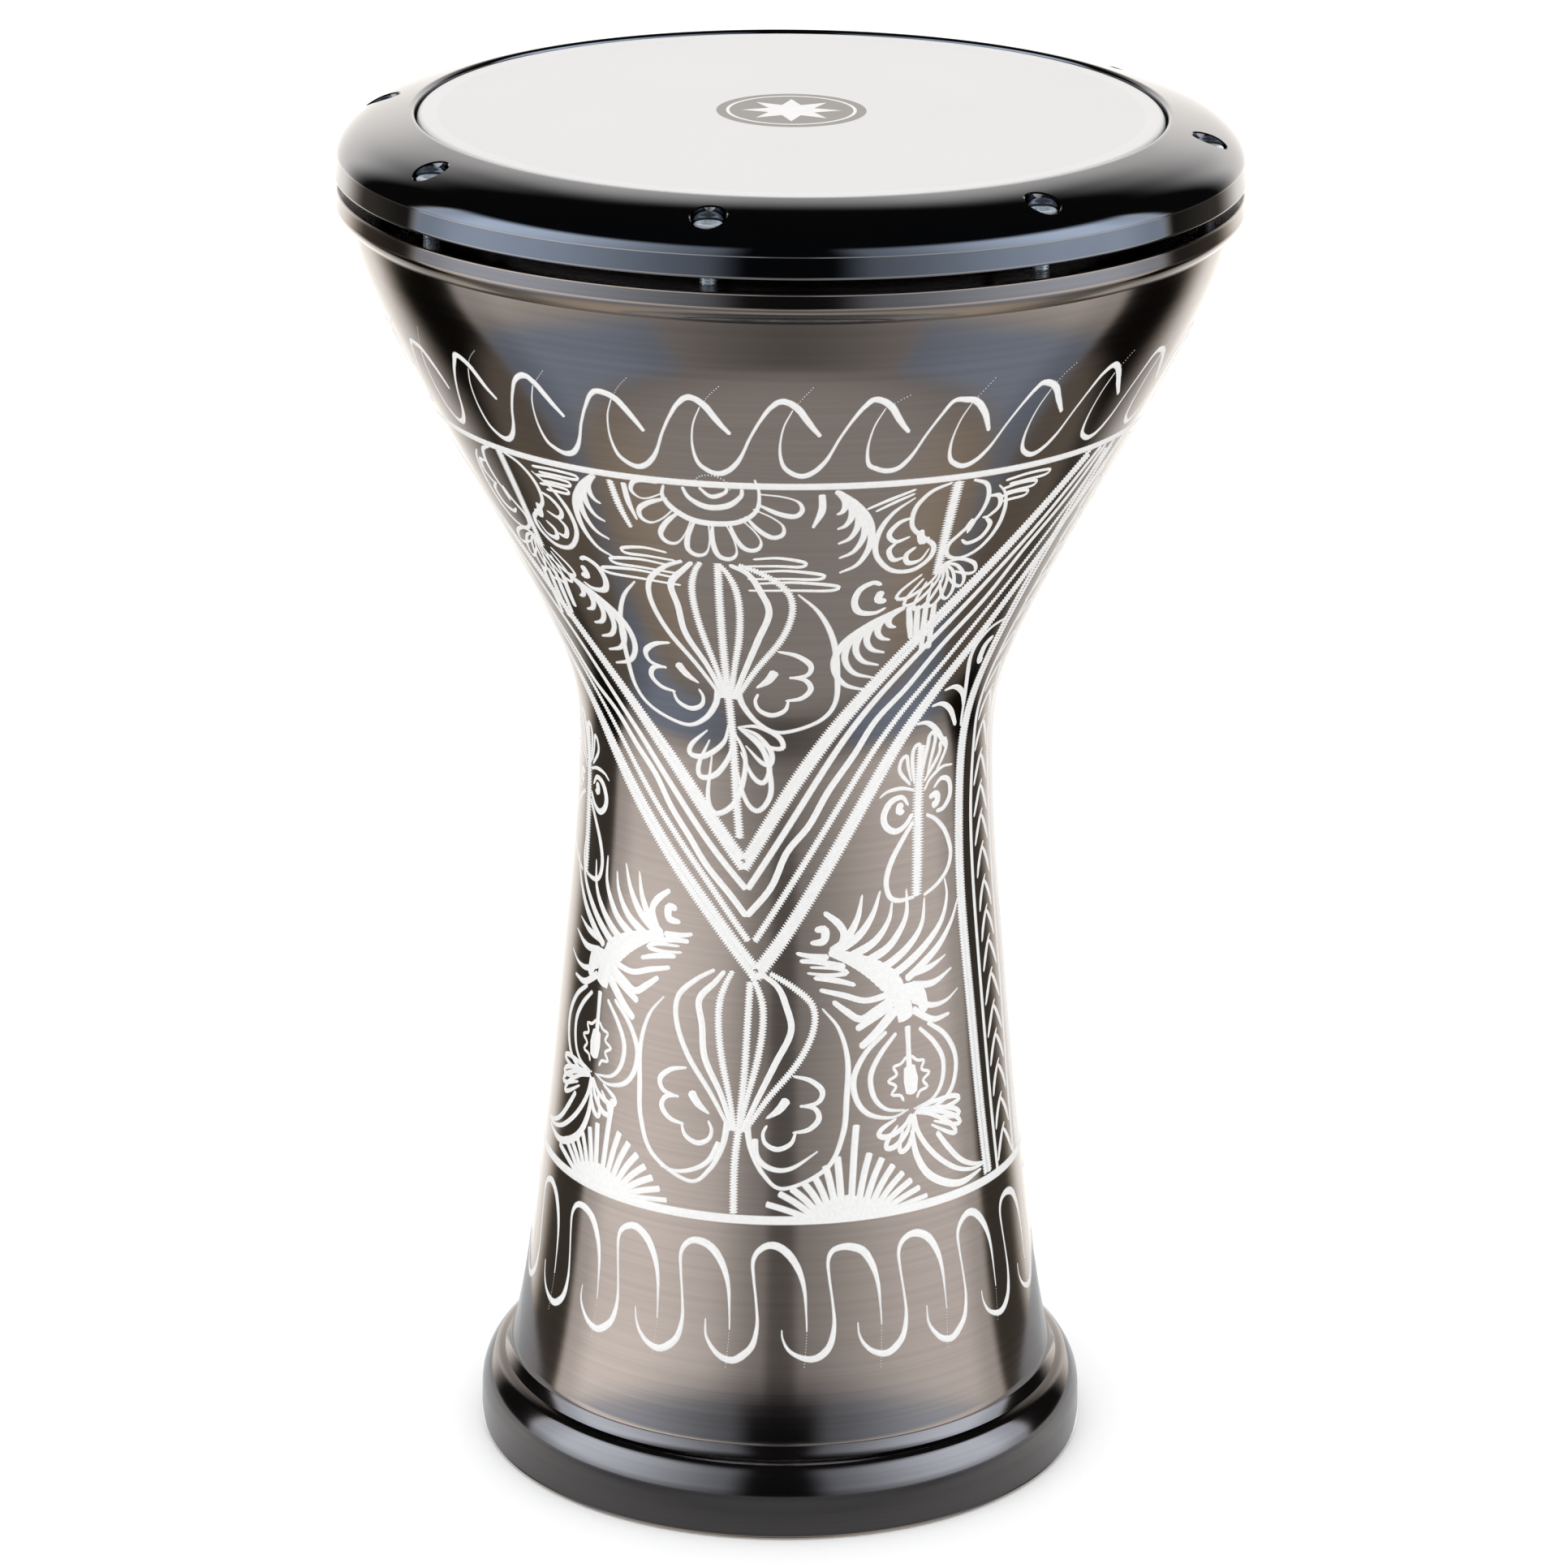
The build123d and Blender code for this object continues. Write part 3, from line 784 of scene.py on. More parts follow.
def flower(a0, z0, side=1):
    """Flower with two curled horns, finger petals above and a heart below."""
    cuts(a0, z0, side, [
        ([(0.8, 20), (0.3, 8), (0, 0), (-0.3, -14), (-1.2, -27.5)], (4, 4.6, 5.4, 5.2, 4.2), "saw"),
        ([(-1.4, 6), (-6, 7.5), (-11, 7.3), (-14, 5.6)], (0.9, 1.4, 0.7)),
        ([(2.4, 5), (5, 8.5), (10, 11), (15, 10.6)], (0.9, 1.4, 0.7)),
        ([(-3.6, 1.6), (-6, 4.6), (-10, 3.8), (-12.4, 0), (-11.8, -3.6), (-8.6, -5.8), (-5, -4.6),
          (-2, -1.2)], (0.9, 1.8, 2.4, 2.4, 2.2, 1.8, 1.6)),
        ([(-6.2, 3), (-7.2, 0.4), (-5.2, 0)], (2.6, 2.8, 1.8)),
        ([(6.4, 5), (9.8, 7.4), (13.4, 5.8), (14, 1.2), (11, -2.2), (7.4, -2.6)], (0.9, 1.7, 2.2, 2, 1.2)),
        ([(4.4, 2.4), (7.6, 3), (8, 0.4), (5.6, -0.6)], (1.6, 2.8, 2.4)),
        ([(-1.8, -3.8), (-6, -9), (-10, -15), (-12, -21), (-11, -26), (-7.6, -27.8), (-2, -27.6)],
         (1.8, 2.2, 2.4, 2.3, 2, 1.4), "fringe"),
        ([(3.2, -2.6), (7.4, -5.2), (11.6, -10), (14, -16.5), (12.6, -21.6), (8, -25.4), (1.6, -28)],
         (1.4, 2, 2.3, 2.2, 1.8, 1.4), "fringe"),
    ])
    for x, y, w in ((-5.6, 17.5, 1.7), (-1.2, 20.5, 1.9), (4.4, 23.5, 2), (9.6, 20, 1.9)):
        base = (x * 0.35 - 1, 8)
        cuts(a0, z0, side, [([base, (x - 1.4, y - 4.5), (x - 1, y - 0.8), (x + 0.8, y), (x + 1.6, y - 3.6),
                              (x * 0.6 + 0.8, 9)], (1.2, w, w, w, 0.9 * w, 1), "fringe")])


def plume(a0, z0, side, rise=0):
    """Palm plume above, onion-shaped bud below, root leaves and trailing stems."""
    fronds = [
        ((-13.7, 37.5), (-15.6, 30), (-19.8, 23.5), (-24.5, 20.5)),
        ((-7.7, 38), (-10.4, 31), (-15, 25), (-22, 20.5)),
        ((-3.7, 34), (-5.3, 28), (-10.6, 22), (-20, 18)),
        ((1.5, 37), (1.2, 29), (-2.4, 23), (-7, 19), (-16, 15.5)),
        ((8.4, 33), (7, 25), (2.4, 19.5), (-4.7, 15), (-11, 13)),
        ((17.2, 37), (18, 31), (15.2, 24), (8.3, 18), (0, 13), (-7, 10)),
        ((23.4, 29), (20, 23), (14.2, 17), (7.2, 12.5), (0, 8.5)),
    ]
    for f in fronds:
        f = [(x, y + rise * (-x) / 24) for x, y in f]
        cuts(a0, z0, side, [(f, (0.7, 1.7, 2.5, 2.9, 2.6))])
    cuts(a0, z0, side, [
        ([(-25, 20.5 + rise), (-17.5, 17.5 + rise * .7), (-9.5, 12.5 + rise * .4), (-3.6, 6), (0, -4)],
         (2.4, 5, 8, 11, 8)),
        ([(-3, 4), (4, 4), (7, -3)], (7, 6, 3)),
        ([(-26, 33), (-21.5, 29), (-20, 25), (-23, 19.5)], (1.6, 2.5, 2.5, 1.6)),
        ([(-29, 27.5), (-26, 27.5), (-26.4, 24), (-30.5, 23.5)], (1.8, 3, 2.6, 1.4)),
        ([(-34, 18), (-28, 17.5), (-20, 15.5)], (1.5, 1.9, 2.2)),
        ([(-35, 20.5), (-31, 19.5), (-25, 18.8)], (1.2, 1.9, 2.2)),
        ([(-32, 14.2), (-25, 13.2), (-19.5, 13.5), (-23, 15.2), (-31, 16)], (0.8, 1.3, 1.6, 1.2, 0.8)),
        ([(-30, 12.6), (-23, 11.4), (-17, 9.4)], (1.4, 2, 1.4)),
        ([(-28.4, 8.8), (-21, 6.6), (-14, 4.2), (-6, 5)], (1.4, 2, 2, 2.4)),
        ([(-24.5, 5), (-20.5, 1.6), (-16, -1.4), (-11, 0.6), (-4, 4)], (1.6, 2.3, 2.4, 2.6, 2.6)),
        ([(-17.5, -4.6), (-12, -1.6), (-5, 2)], (2.2, 3, 3.4)),
        ([(-16.5, -10.4), (-11, -6.4), (-4, 0)], (2.4, 3.2, 3.6)),
        ([(2, 10), (9.5, 10.6), (16.5, 12.8)], (3, 2.4, 0.8), "fringe"),
        ([(2, 6.4), (10.5, 5.4), (18.8, 8)], (3, 2.6, 1), "fringe"),
        ([(2, 2), (9, -1.4), (15.5, -1.6), (21.5, 0.8)], (3, 2.4, 1.6, 0.8), "fringe"),
        ([(2, -1.2), (9.5, -6), (17, -6)], (3, 2.6, 1.4), "fringe"),
    ])
    bud = z0 - 23
    both(a0, bud, [
        ([(7.5, 16.5), (14.5, 11), (18.8, 3.6), (18.4, -3.6), (14.5, -8.8), (7, -11), (0.8, -9.5)],
         (1.7, 2.1, 2.4, 2.4, 2.1, 1.4, 0.9), "fringe"),
        ([(4.2, 15.5), (10, 9.5), (13.4, 3.2), (12.6, -3.6), (8.7, -8), (2, -9.6)],
         (1.6, 2.1, 2.3, 2.2, 1.6, 1), "fringe"),
        ([(0.8, 7.4), (3, 5.4), (5.6, 4.8), (4.6, 2.2), (7.6, 0.6), (5, -1.4), (6.6, -3.8), (3.6, -4.6),
          (2.4, -6.6)], 1.1),
    ])
    cuts(a0, bud, side, [
        ([(0, 17), (0, 9), (0, 4)], (2.6, 2.2, 2.6), "fringe"),
        ([(0, 4.5), (0.4, 0), (0.6, -5)], (4.4, 6.2, 4.2)),
    ])
    root = z0 - 34
    for tip in ((-11.5, -5), (-9, -9.5), (-4, -11.5)):
        leaf(a0, root, side, tip, 1.7)
    for tip in ((18.8, 0.2), (18.6, -4.6), (18.8, -7.6), (16.6, -10.2)):
        leaf(a0 + side, root, side, tip, 1.5, 0.09)
    cuts(a0, root, side, [
        ([(1, 0), (2.6, -7), (8, -14.6), (16, -21), (24, -24), (32, -24.5)],
         (1.4, 1.9, 1.9, 1.8, 1.3, 0.8)),
        ([(0, -5), (1.2, -13), (5, -20), (11.6, -24.6), (19.4, -26.8), (29.5, -25.6)],
         (1.6, 2.4, 2.8, 2.7, 2.2, 0.9)),
        ([(9.5, -8), (14, -14), (19.2, -19.4), (25, -22.6), (31, -24)], (1.8, 2.1, 2, 1.6, 0.9)),
    ])


def grass(a0):
    """Fan of finger blades standing on the lower ring."""
    tips = ((-24.5, 5, 2.4), (-20.5, 8.5, 2.5), (-16.6, 10, 2.6), (-13, 12, 2.6), (-9.6, 14, 2.6),
            (-6, 17, 2.7), (-2.2, 19.5, 2.8), (4, 29, 2.7), (8.2, 19.6, 2.7), (12.4, 17.4, 2.7),
            (16.2, 14.6, 2.7), (19.6, 11.6, 2.6), (22.6, 8.6, 2.6), (25.6, 5.6, 2.4), (28.4, 2.4, 2))
    for x, y, w in tips:
        foot = 0.42 * x
        cuts(a0, GRASS_FOOT, 1, [([(foot, 0), (foot + 0.55 * (x - foot), 0.62 * y), (x, y)],
                                  (w, w, w), "fringe")])
    cuts(a0, GRASS_FOOT, 1, [([(-11, 2), (0, 3.4), (12, 2)], (4, 8, 4))])


def right_arcs():
    """Long arc with an eye and three short ones, between the chevrons and the border."""
    cut([(57, 285), (52, 283.5), (49, 279), (48.6, 274), (50.5, 267), (53, 258), (54.2, 249)],
        (1.3, 1.8, 2.2, 2.3, 2.2, 1.8, 1.4), "fringe")
    cut([(54.8, 279.5), (52.9, 277), (53, 272.4), (54.4, 270.6)], (2, 3.2, 3.2, 2.2))
    for a, z, n in ((43, 264.3, 0), (40, 259.6, 1), (36, 254.4, 2)):
        cut([(a, z), (a + 3.8, z + 0.2 - n * .3), (a + 8, z - 3.2 - n * .4), (a + 10.6 + n, z - 8.6 - n)],
            (0.9, 1.9, 2.1, 1.6))


def border_strip():
    """Upright border: sawn band, plain line, leaf veins, then the same mirrored."""
    for mirrored in (False, True):
        def at(a):
            return 2 * STRIP_MIDDLE - a if mirrored else a

        for d in (-0.9, 0.9):
            cut([(at(61.5 + d), 341), (at(58.6 + d), 300), (at(56.4 + d), 250), (at(54.8 + d), 200),
                 (at(56.2 + d), 150), (at(58.2 + d), 103)], 2.8, "saw")
        cut([(at(66), 341), (at(64.6), 290), (at(62.5), 255), (at(62.8), 240), (at(61.4), 215),
             (at(61.6), 160), (at(63), 102)], (2.2, 2.4, 2.2, 2.2), "fringe")
    z = 104
    k = 0
    while z < 322:
        cut([(63.8 + .4 * math.sin(k), z), (65.4, z + 4.2), (67.4, z + 8), (69.4, z + 10.4)],
            (1, 2, 1.9, 0.9))
        cut([(73.2 - .4 * math.sin(k), z - 1), (71.6, z + 3.2), (69.6, z + 7), (67.6, z + 9.4)],
            (1, 2, 1.9, 0.9))
        z += 10.2 + 0.8 * math.sin(1.7 * k)
        k += 1


def panel():
    """The front's pattern between the two rings."""
    chevrons()
    daisy()
    tulip(-14, 266, drop=9, height=50)
    cut([(-12.4, 316), (-13.2, 300), (-13.9, 280), (-14, 265), (-13.8, 250), (-13.3, 235), (-12.2, 221)],
        (2.6, 2.9, 2.9, 3, 3), "saw")
    for tip in ((-13, -12), (-9.5, -19), (-4.5, -30)):
        leaf(-14.6, 258, 1, tip, 1.9, 0.2, "fringe")
    for tip in ((13.5, -6), (9.5, -12), (7.4, -18), (6, -27)):
        leaf(-12.4, 257, 1, tip, 1.8, 0.2, "fringe")
    for s, a in ((1, -6), (-1, -21.5)):
        for y, x in ((318.2, 15), (313.6, 20), (309.4, 24)):
            cuts(a, y, s, [([(0, 0.2), (x * .5, 0.9), (x, -0.6), (x * .93, -2.2), (x * .45, -2),
                             (-2, -2.4)], (0.8, 1, 1.3, 1.1, 0.9, 0.8))])
    shell_fan(7.2, 343, 1, 5)
    cuts(6, 343, 1, [([(-1.5, -1), (-1.2, -7), (-3.4, -13)], (2.4, 2.8, 1.2), "fringe")])
    shell_fan(-31, 343, -1, 4)
    cuts(-28.5, 343, 1, [([(0, -1), (0.6, -10), (2.2, -17)], (2.4, 2.8, 1.4), "saw"),
                         ([(4.5, -1), (4.2, -8), (5.2, -14)], (2.2, 2.4, 1.2), "fringe")])
    side_flower(28, 327, 1)
    side_flower(-52.5, 327, -1)
    shell_fan(24, 299, -1, 6, 1.5)
    shell_fan(-48.5, 302, 1, 6, 1.45)
    for i, dz in enumerate((12, 15, 17.5, 17)):
        a = 26 + 1.9 * i
        cut([(a - 1.2, 299), (a, 299 - .5 * dz), (a + 1.4, 299 - dz)], (2.2, 2.6, 2), "fringe")
        cut([(-50.5 - 2.4 * i, 301.5), (-51.3 - 2.5 * i, 301 - .5 * dz), (-51.6 - 2.6 * i, 301.5 - dz)],
            (2.4, 3, 2.4), "fringe")
    hook(15.8, 303.6, 1)
    hook(-40.2, 305, -1)
    for y, x in ((340.6, 17), (337.6, 13), (334.6, 11)):
        cuts(36, y, 1, [([(0, 0), (x * .5, 0.9), (x, 0.4), (x * .96, -1.2), (x * .5, -1.4), (2, -1.6)], 1.1)])
        cuts(-44, y + .4, 1, [([(0, 0), (x * .5, 0.6), (x, 0.3), (x * .96, -1.2), (x * .5, -1.3),
                                (2, -1.6)], 1.1)])
    cut([(12.5, 336), (16, 339), (20, 342)], (0.8, 1.3, 0.8))
    cut([(14, 335), (17, 338), (20, 340.5)], (0.8, 1.2, 0.8))
    right_arcs()
    flower(38.6, 226.5)
    flower(-69, 223.5, -1)
    tulip(-11, 128, drop=17, height=51)
    cut([(-8.6, 176), (-9.1, 160), (-9.6, 145), (-10.6, 130), (-11.4, 118), (-11.3, 103)],
        (2.4, 2.5, 2.6, 2.6), "saw")
    cuts(-11, 128, -1, [([(5.5, -3), (8.5, -9), (13, -12.4), (19, -14.2), (25, -13.6)],
                         (2.4, 2, 1.7, 1), "fringe")])
    cuts(-11, 128, 1, [([(5.5, -1), (6.5, -7), (11, -10.4), (17, -10.2), (25, -5)],
                        (2.6, 2.2, 1.7, 0.8), "fringe")])
    plume(33, 165, 1)
    plume(-54.5, 168.5, -1, -2)
    grass(15)
    grass(-49.5)
    border_strip()


# ================================================================ cuts as geometry

CUT_SINK = -0.012         # the edges of a cut lie just under the skin,
CUT_CREST = 0.11          # its middle just over it
FRINGE_PITCH = 0.55
FRINGE_NOTCH = 0.32
SAW_PITCH = 0.9
SAW_BLADE = 1.15
DOT = 0.4
DOT_PITCH = 0.95


def through(points, steps=10):
    """Smooth curve through the points of a cut (Catmull-Rom)."""
    p = np.array(points, float)
    p = np.vstack((2 * p[0] - p[1], p, 2 * p[-1] - p[-2]))
    t = (np.arange(steps) / steps)[:, None]
    out = [0.5 * (2 * p[i] + (p[i + 1] - p[i - 1]) * t
                  + (2 * p[i - 1] - 5 * p[i] + 4 * p[i + 1] - p[i + 2]) * t ** 2
                  + (3 * p[i] - p[i - 1] - 3 * p[i + 1] + p[i + 2]) * t ** 3) for i in range(1, len(p) - 2)]
    return np.vstack(out + [p[-2:-1]])


def paced(points, widths, pace):
    """Positions, side directions and half widths at even steps along a cut."""
    line = through(points)
    per_degree = RAD * shell_radius(line[:, 1])
    dx = np.diff(line[:, 0]) * 0.5 * (per_degree[1:] + per_degree[:-1])
    length = np.concatenate(([0.0], np.cumsum(np.hypot(dx, np.diff(line[:, 1])))))
    count = max(2, int(round(length[-1] / pace)) + 1)
    s = np.linspace(0.0, length[-1], count)
    a = np.interp(s, length, line[:, 0])
    z = np.interp(s, length, line[:, 1])
    per_degree = RAD * shell_radius(z)
    ta, tz = np.gradient(a) * per_degree, np.gradient(z)
    size = np.hypot(ta, tz) + 1e-9
    share = np.linspace(0.0, 1.0, len(widths)) if len(widths) > 1 else [0.0]
    half = np.interp(s / length[-1], share, widths) / 2.0
    return a, z, -tz / size / per_degree, ta / size, half


def on_shell(a, z, lift):
    """Points on the shell's skin at azimuth a and height z, lifted off it."""
    out, up = shell_normal(z)
    radius = shell_radius(z) + lift * out
    return np.column_stack((radius * np.sin(a * RAD), -radius * np.cos(a * RAD), z + lift * up))


def ribbon(points, widths, fringed):
    """Cut with a crest along its middle; a fringed one has toothed edges."""
    a, z, side_a, side_z, half = paced(points, widths, FRINGE_PITCH / 2 if fringed else 0.7)
    i = np.arange(len(a))
    if fringed:
        half = np.maximum(0.15, half - FRINGE_NOTCH * (i % 2))
    half[0] *= 0.4
    half[-1] *= 0.4
    verts = np.vstack((on_shell(a + side_a * half, z + side_z * half, CUT_SINK), on_shell(a, z, CUT_CREST),
                       on_shell(a - side_a * half, z - side_z * half, CUT_SINK)))
    n = len(a)
    k = i[:-1]
    return verts, np.vstack((np.column_stack((k, k + 1, n + k + 1, n + k)),
                             np.column_stack((n + k, n + k + 1, 2 * n + k + 1, 2 * n + k))))[:, ::-1]


def blades(a0, z0, a1, z1, thick):
    """Lens-shaped nicks from (a0, z0) to (a1, z1), one per row."""
    mid_a, mid_z = 0.5 * (a0 + a1), 0.5 * (z0 + z1)
    per_degree = RAD * shell_radius(mid_z)
    da, dz = (a1 - a0) * per_degree, z1 - z0
    size = np.hypot(da, dz) + 1e-9
    ka, kz = -dz / size * thick / 2.0 / per_degree, da / size * thick / 2.0
    n = len(a0)
    verts = np.vstack((on_shell(a0, z0, CUT_SINK), on_shell(a1, z1, CUT_SINK),
                       on_shell(mid_a, mid_z, CUT_CREST), on_shell(mid_a + ka, mid_z + kz, CUT_SINK),
                       on_shell(mid_a - ka, mid_z - kz, CUT_SINK)))
    k = np.arange(n)
    tris = [np.column_stack((k + p * n, k + q * n, k + r * n, k + r * n))
            for p, q, r in ((0, 2, 3), (3, 2, 1), (0, 4, 2), (4, 1, 2))]
    return verts, np.vstack(tris)[:, ::-1]


def saw(points, widths):
    """Cut made by rocking the tool from edge to edge."""
    a, z, side_a, side_z, half = paced(points, widths, SAW_PITCH / 2)
    swing = np.where(np.arange(len(a)) % 2, 1.0, -1.0) * (half + 0.3)
    x, y = a + side_a * swing, z + side_z * swing
    return blades(x[:-1], y[:-1], x[1:], y[1:], SAW_BLADE)


def dots(points, widths):
    """Row of separate nicks."""
    a, z, side_a, side_z, half = paced(points, widths, DOT_PITCH)
    ta, tz = side_z / (RAD * shell_radius(z)) * DOT / 2, -side_a * RAD * shell_radius(z) * DOT / 2
    return blades(a - ta, z - tz, a + ta, z + tz, widths[0])


def cut_mesh(points, widths, kind):
    """Vertices and faces of one cut."""
    if kind == "saw":
        return saw(points, widths)
    if kind == "dots":
        return dots(points, widths)
    return ribbon(points, widths, kind == "fringe")


def engraving(name, chosen):
    """One piece from a list of cuts."""
    verts, faces, count = [], [], 0
    for points, widths, kind in chosen:
        cut_verts, cut_faces = cut_mesh([(a, z + PATTERN_BASE) for a, z in points], widths, kind)
        verts.append(cut_verts)
        faces.append(cut_faces + count)
        count += len(cut_verts)
    faces = [tuple(f[1:]) if f[0] == f[1] else tuple(f) for f in np.vstack(faces).tolist()]
    obj = piece(name, np.vstack(verts), faces, sharp=0.0)
    finish_piece(obj, "shell", cut_metal)


wave_bands()
rings()
engraving("engraving_bands", strokes)
strokes.clear()
panel()
engraving("engraving_front", strokes)
engraving("engraving_back", [([(a + 180.0, z) for a, z in points], widths, kind)
                             for points, widths, kind in strokes])


# ================================================================ floor, light, camera

FLOOR_R = 4000.0
SHADE_R = 150.0            # the foot mirrors the shaded floor out to here,
SHADE_RIM = (164.0, 10.0)  # and this raised edge stands for the floor beyond
SHADE_FADE = 300.0         # depth over which the shade's grey runs from front to back

floor_material = material("studio_floor", (0.99, 0.99, 0.99), (0.98, 0.98, 0.98), 0.0, 0.6, 0.02, scale=2.0)
floor = ringed("studio_floor", [(FLOOR_R, -20.0), (FLOOR_R, 0.0)], 96, closed=False)
floor.data.materials.append(floor_material)
floor.visible_glossy = False


def shaded_floor():
    """Grey that brightens from the front of the drum to the back."""
    made = bpy.data.materials.new("shaded_floor")
    made.use_nodes = True
    n = Nodes(made.node_tree)
    axes = n.new("ShaderNodeSeparateXYZ")
    n.feed(axes.inputs[0], n.new("ShaderNodeTexCoord").outputs["Object"])
    depth = n.math("MULTIPLY_ADD", axes.outputs[1], 1.0 / (SHADE_FADE * MM), 0.4)
    depth = n.math("ADD", depth, n.math("MULTIPLY", n.noise(40.0), 0.01))
    shader = n.new("ShaderNodeBsdfDiffuse")
    n.feed(shader.inputs[0], n.ramp(depth, [(0.03, (0.21, 0.222, 0.233)), (0.16, (0.41, 0.43, 0.445)),
                                            (0.32, (0.67, 0.69, 0.705))]))
    n.tree.links.new(shader.outputs[0], n.new("ShaderNodeOutputMaterial").inputs[0])
    return made


shade_in = FOOT_R + 1.0
shade = ringed("floor_in_shade", [(shade_in, 0.4), (SHADE_R, 0.4), SHADE_RIM, (SHADE_RIM[0] + 0.5, 0.2),
                                  (shade_in, 0.2)], 96)
shade.data.materials.append(shaded_floor())
shade.visible_camera = shade.visible_diffuse = shade.visible_shadow = False


def studio_world():
    """White surroundings for the eye and for matt surfaces. For reflections, a studio: two tall cool
    softboxes in front with a black gap between them, the bright floor below them, a black screen at
    each side, a white wall behind and a dark ceiling."""
    world = bpy.data.worlds.new("studio")
    world.use_nodes = True
    bpy.context.scene.world = world
    n = Nodes(world.node_tree)
    axes = n.new("ShaderNodeSeparateXYZ")
    n.feed(axes.inputs[0], n.new("ShaderNodeTexCoord").outputs["Generated"])
    x, y, z = axes.outputs
    # Directions in degrees: rise above the horizon, side round from the front, off either way.
    rise = n.math("MULTIPLY", n.math("ARCSINE", z), 180.0 / math.pi)
    side = n.math("MULTIPLY", n.math("ARCTAN2", x, n.math("MULTIPLY", y, -1.0)), 180.0 / math.pi)
    off = n.math("ABSOLUTE", side)

    def level(low, gain, fade):
        """Brightness that goes from low to low + gain."""
        return n.math("MULTIPLY_ADD", fade, gain, low)

    front = n.fade(off, 109.0, 104.0)
    beside = n.fade(off, 104.0, 109.0)
    arched = n.math("MULTIPLY_ADD", n.math("POWER", off, 2.0), 0.0012, rise)
    ends = level(1.0, -0.33, n.fade(off, 86.0, 102.0))
    floor_edge = n.fade(rise, -57.0, -53.0)
    near_floor = n.fade(rise, -53.0, -57.0)

    # Softboxes: black gap in the middle, brighter outwards, arched top edge.
    boxes = n.product(front, level(0.5, 2.1, n.fade(off, 12.0, 84.0)), n.fade(off, 10.0, 22.0), ends,
                      level(0.62, 0.38, n.fade(rise, -2.0, 9.0)), n.fade(rise, -5.5, -4.0),
                      n.fade(arched, 53.0, 42.0))

    # Floor in front: brighter outwards, darker near the drum and at the softboxes' feet, with a
    # seam in the middle and a brighter patch on the left.
    across = level(0.8, 1.4, n.fade(off, -5.0, 75.0))
    nearer = n.product(level(0.42, 0.58, n.fade(rise, -42.0, -23.0)),
                       level(0.5, 0.5, n.fade(rise, -3.5, -7.5)))
    seam = level(1.0, -0.55, n.product(n.fade(off, 9.0, 4.0), n.fade(rise, -18.0, -14.0)))
    left = n.product(n.fade(side, -10.0, -35.0), n.fade(rise, -18.0, -9.5), n.fade(rise, -4.0, -8.0), 0.75)
    below = n.product(front, ends, n.math("ADD", n.product(across, nearer, seam), left),
                      n.fade(rise, -4.0, -5.5), floor_edge)

    # Floor close to the drum, dark right under it and reaching further out at the sides.
    ground = n.product(level(0.42, 0.58, n.fade(rise, -48.0, -65.0)),
                       level(0.12, 0.88, n.fade(rise, -84.0, -72.0)),
                       n.math("MAXIMUM", near_floor, n.product(beside, n.fade(rise, -37.5, -43.0), 0.75)))

    # Dim foot of the side screens, white wall behind and the glow over it.
    screens = n.product(beside, n.fade(rise, -3.0, -8.0), n.fade(rise, -26.0, -22.0), 0.12)
    wall = n.product(n.fade(off, 131.0, 150.0), n.fade(rise, 42.0, 12.0),
                     level(0.6, 0.9, n.fade(rise, -38.0, -20.0)), n.fade(rise, -50.0, -44.0))
    glow = n.product(n.fade(off, 166.0, 176.0), n.fade(rise, 44.0, 33.0), n.fade(rise, 20.0, 28.0), 1.3)
    total = 0.010
    for part in (boxes, below, ground, screens, wall, glow):
        total = n.math("ADD", part, total)

    warm, cool = (1.05, 1.0, 0.94, 1.0), (0.86, 0.97, 1.12, 1.0)
    blue, brown = (0.80, 0.96, 1.22, 1.0), (1.16, 1.0, 0.80, 1.0)
    tint = n.mix(n.product(front, n.fade(rise, -7.0, -3.5)), warm, cool)
    tint = n.mix(n.product(front, n.fade(off, 34.0, 44.0), n.fade(rise, -36.0, -41.0), floor_edge),
                 tint, blue)
    tint = n.mix(n.math("MAXIMUM", n.product(beside, n.fade(off, 150.0, 130.0), n.fade(rise, 0.0, -6.0)),
                        n.product(n.fade(off, 60.0, 85.0), near_floor)), tint, brown)
    glossy = n.mix(1.0, tint, total, "MULTIPLY")
    path = n.new("ShaderNodeLightPath")
    shader = n.new("ShaderNodeBackground")
    n.feed(shader.inputs[0], n.mix(path.outputs["Is Glossy Ray"], (1.35, 1.35, 1.35, 1.0), glossy))
    shader.inputs[1].default_value = 1.0
    out = n.new("ShaderNodeOutputWorld")
    n.tree.links.new(shader.outputs[0], out.inputs[0])


studio_world()


def key_light(place, aim, size, power):
    """Square soft light that reflections don't see."""
    light = bpy.data.lights.new("key_light", "AREA")
    light.shape = "RECTANGLE"
    light.size = light.size_y = size
    light.energy = power
    obj = bpy.data.objects.new("key_light", light)
    bpy.context.scene.collection.objects.link(obj)
    direction = Vector(aim) - Vector(place)
    obj.matrix_world = Matrix.Translation(place) @ direction.to_track_quat("-Z", "Y").to_matrix().to_4x4()
    obj.visible_glossy = False


key_light((-0.9, -1.4, 2.6), (0, 0, 0.25), 2.4, 9.0)

LENS = 136.31
CAMERA = (0.0, -1.74694, 0.81852)
CAMERA_PITCH = 19.1045
CAMERA_ROLL = 0.5058
CAMERA_YAW = 0.0144

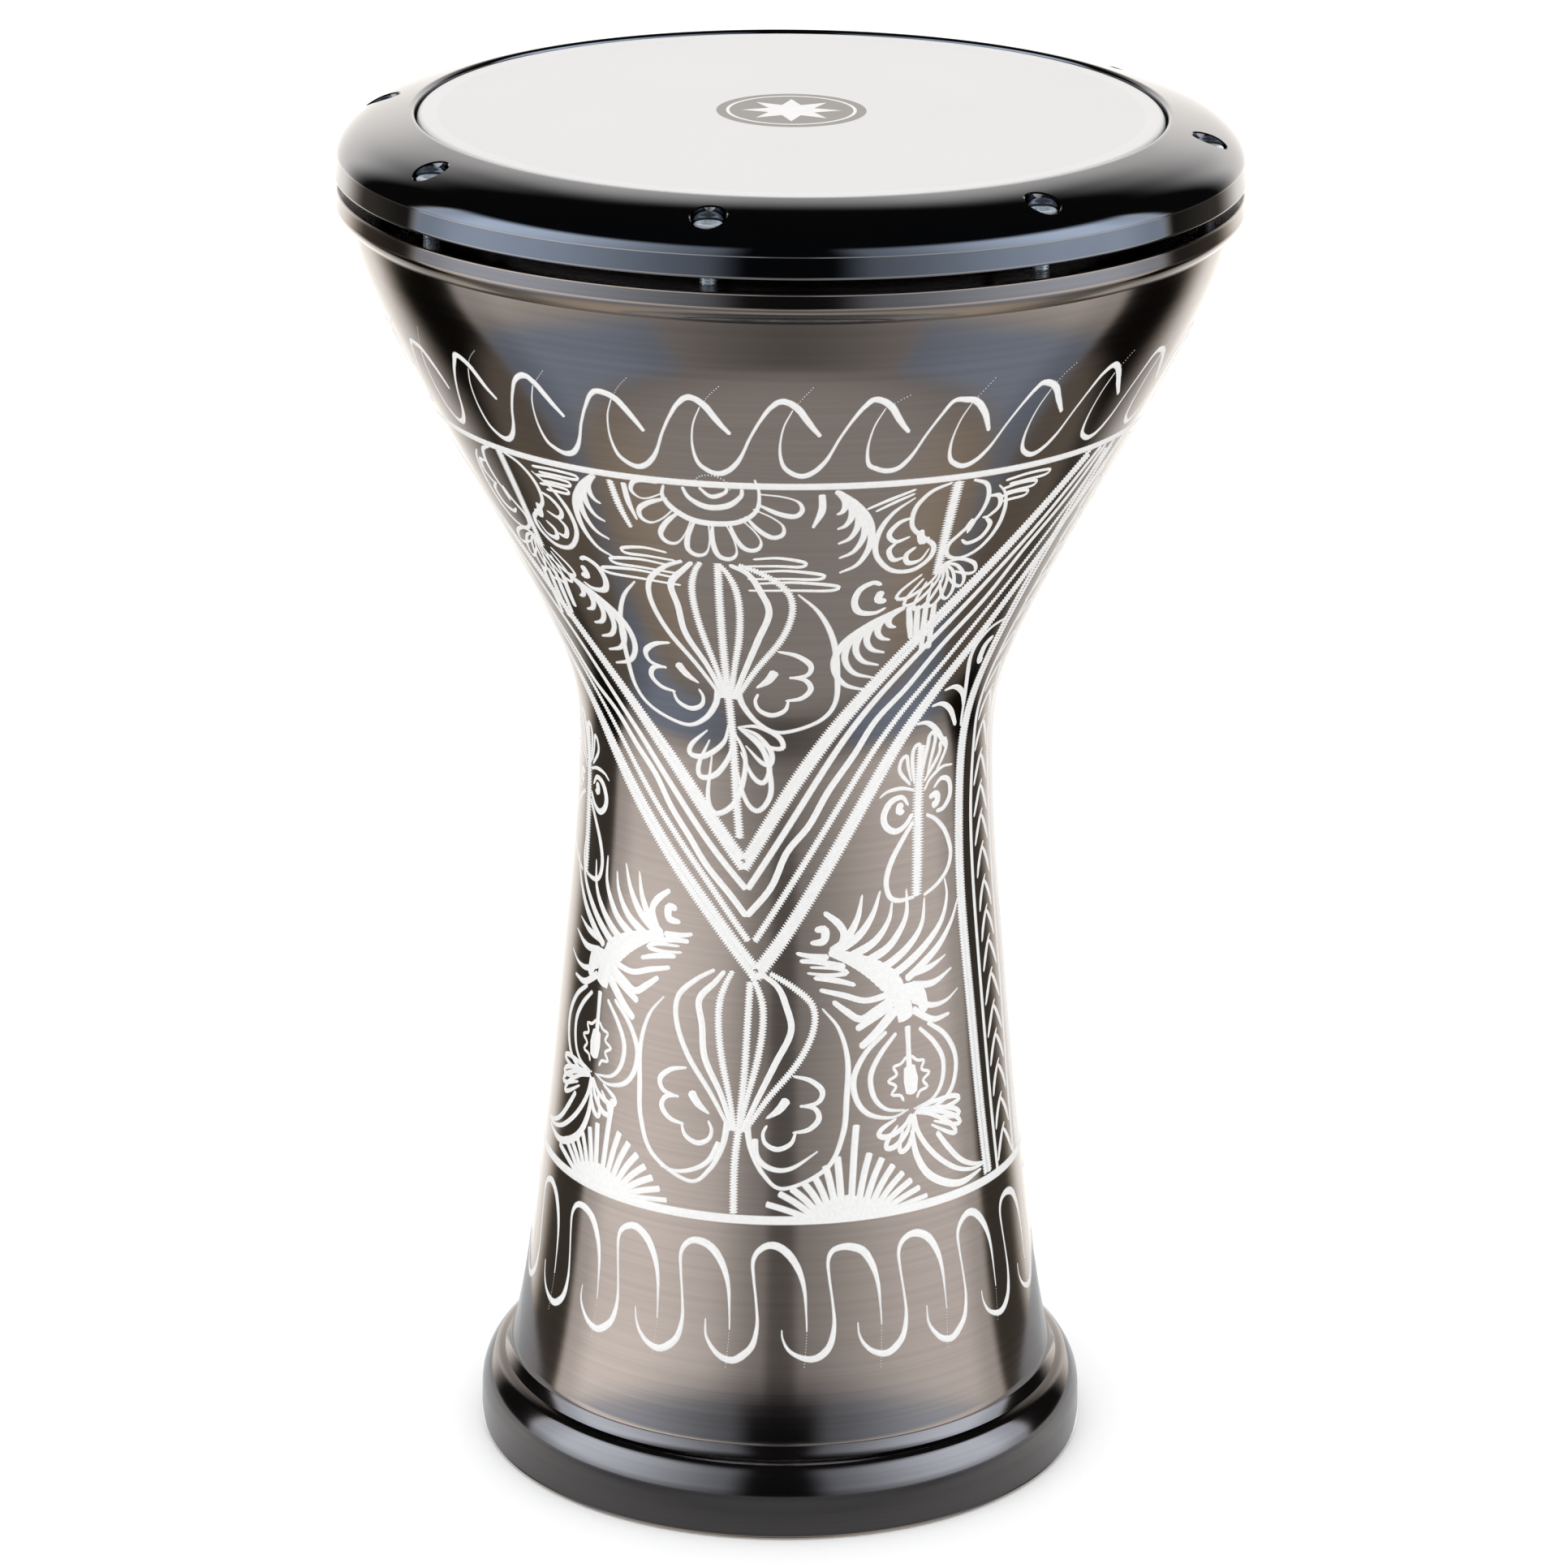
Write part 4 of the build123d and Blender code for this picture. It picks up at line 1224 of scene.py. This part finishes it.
camera = bpy.data.objects.new("camera", bpy.data.cameras.new("camera"))
camera.data.lens = LENS
camera.data.sensor_width = 36.0
camera.data.clip_start = 0.05
camera.matrix_world = (Matrix.Translation(CAMERA) @ Matrix.Rotation(CAMERA_YAW * RAD, 4, "Z")
                       @ Matrix.Rotation((90.0 - CAMERA_PITCH) * RAD, 4, "X")
                       @ Matrix.Rotation(CAMERA_ROLL * RAD, 4, "Z"))
bpy.context.scene.collection.objects.link(camera)
bpy.context.scene.camera = camera
bpy.context.scene.view_settings.view_transform = "Standard"


bpy.context.view_layer.update()
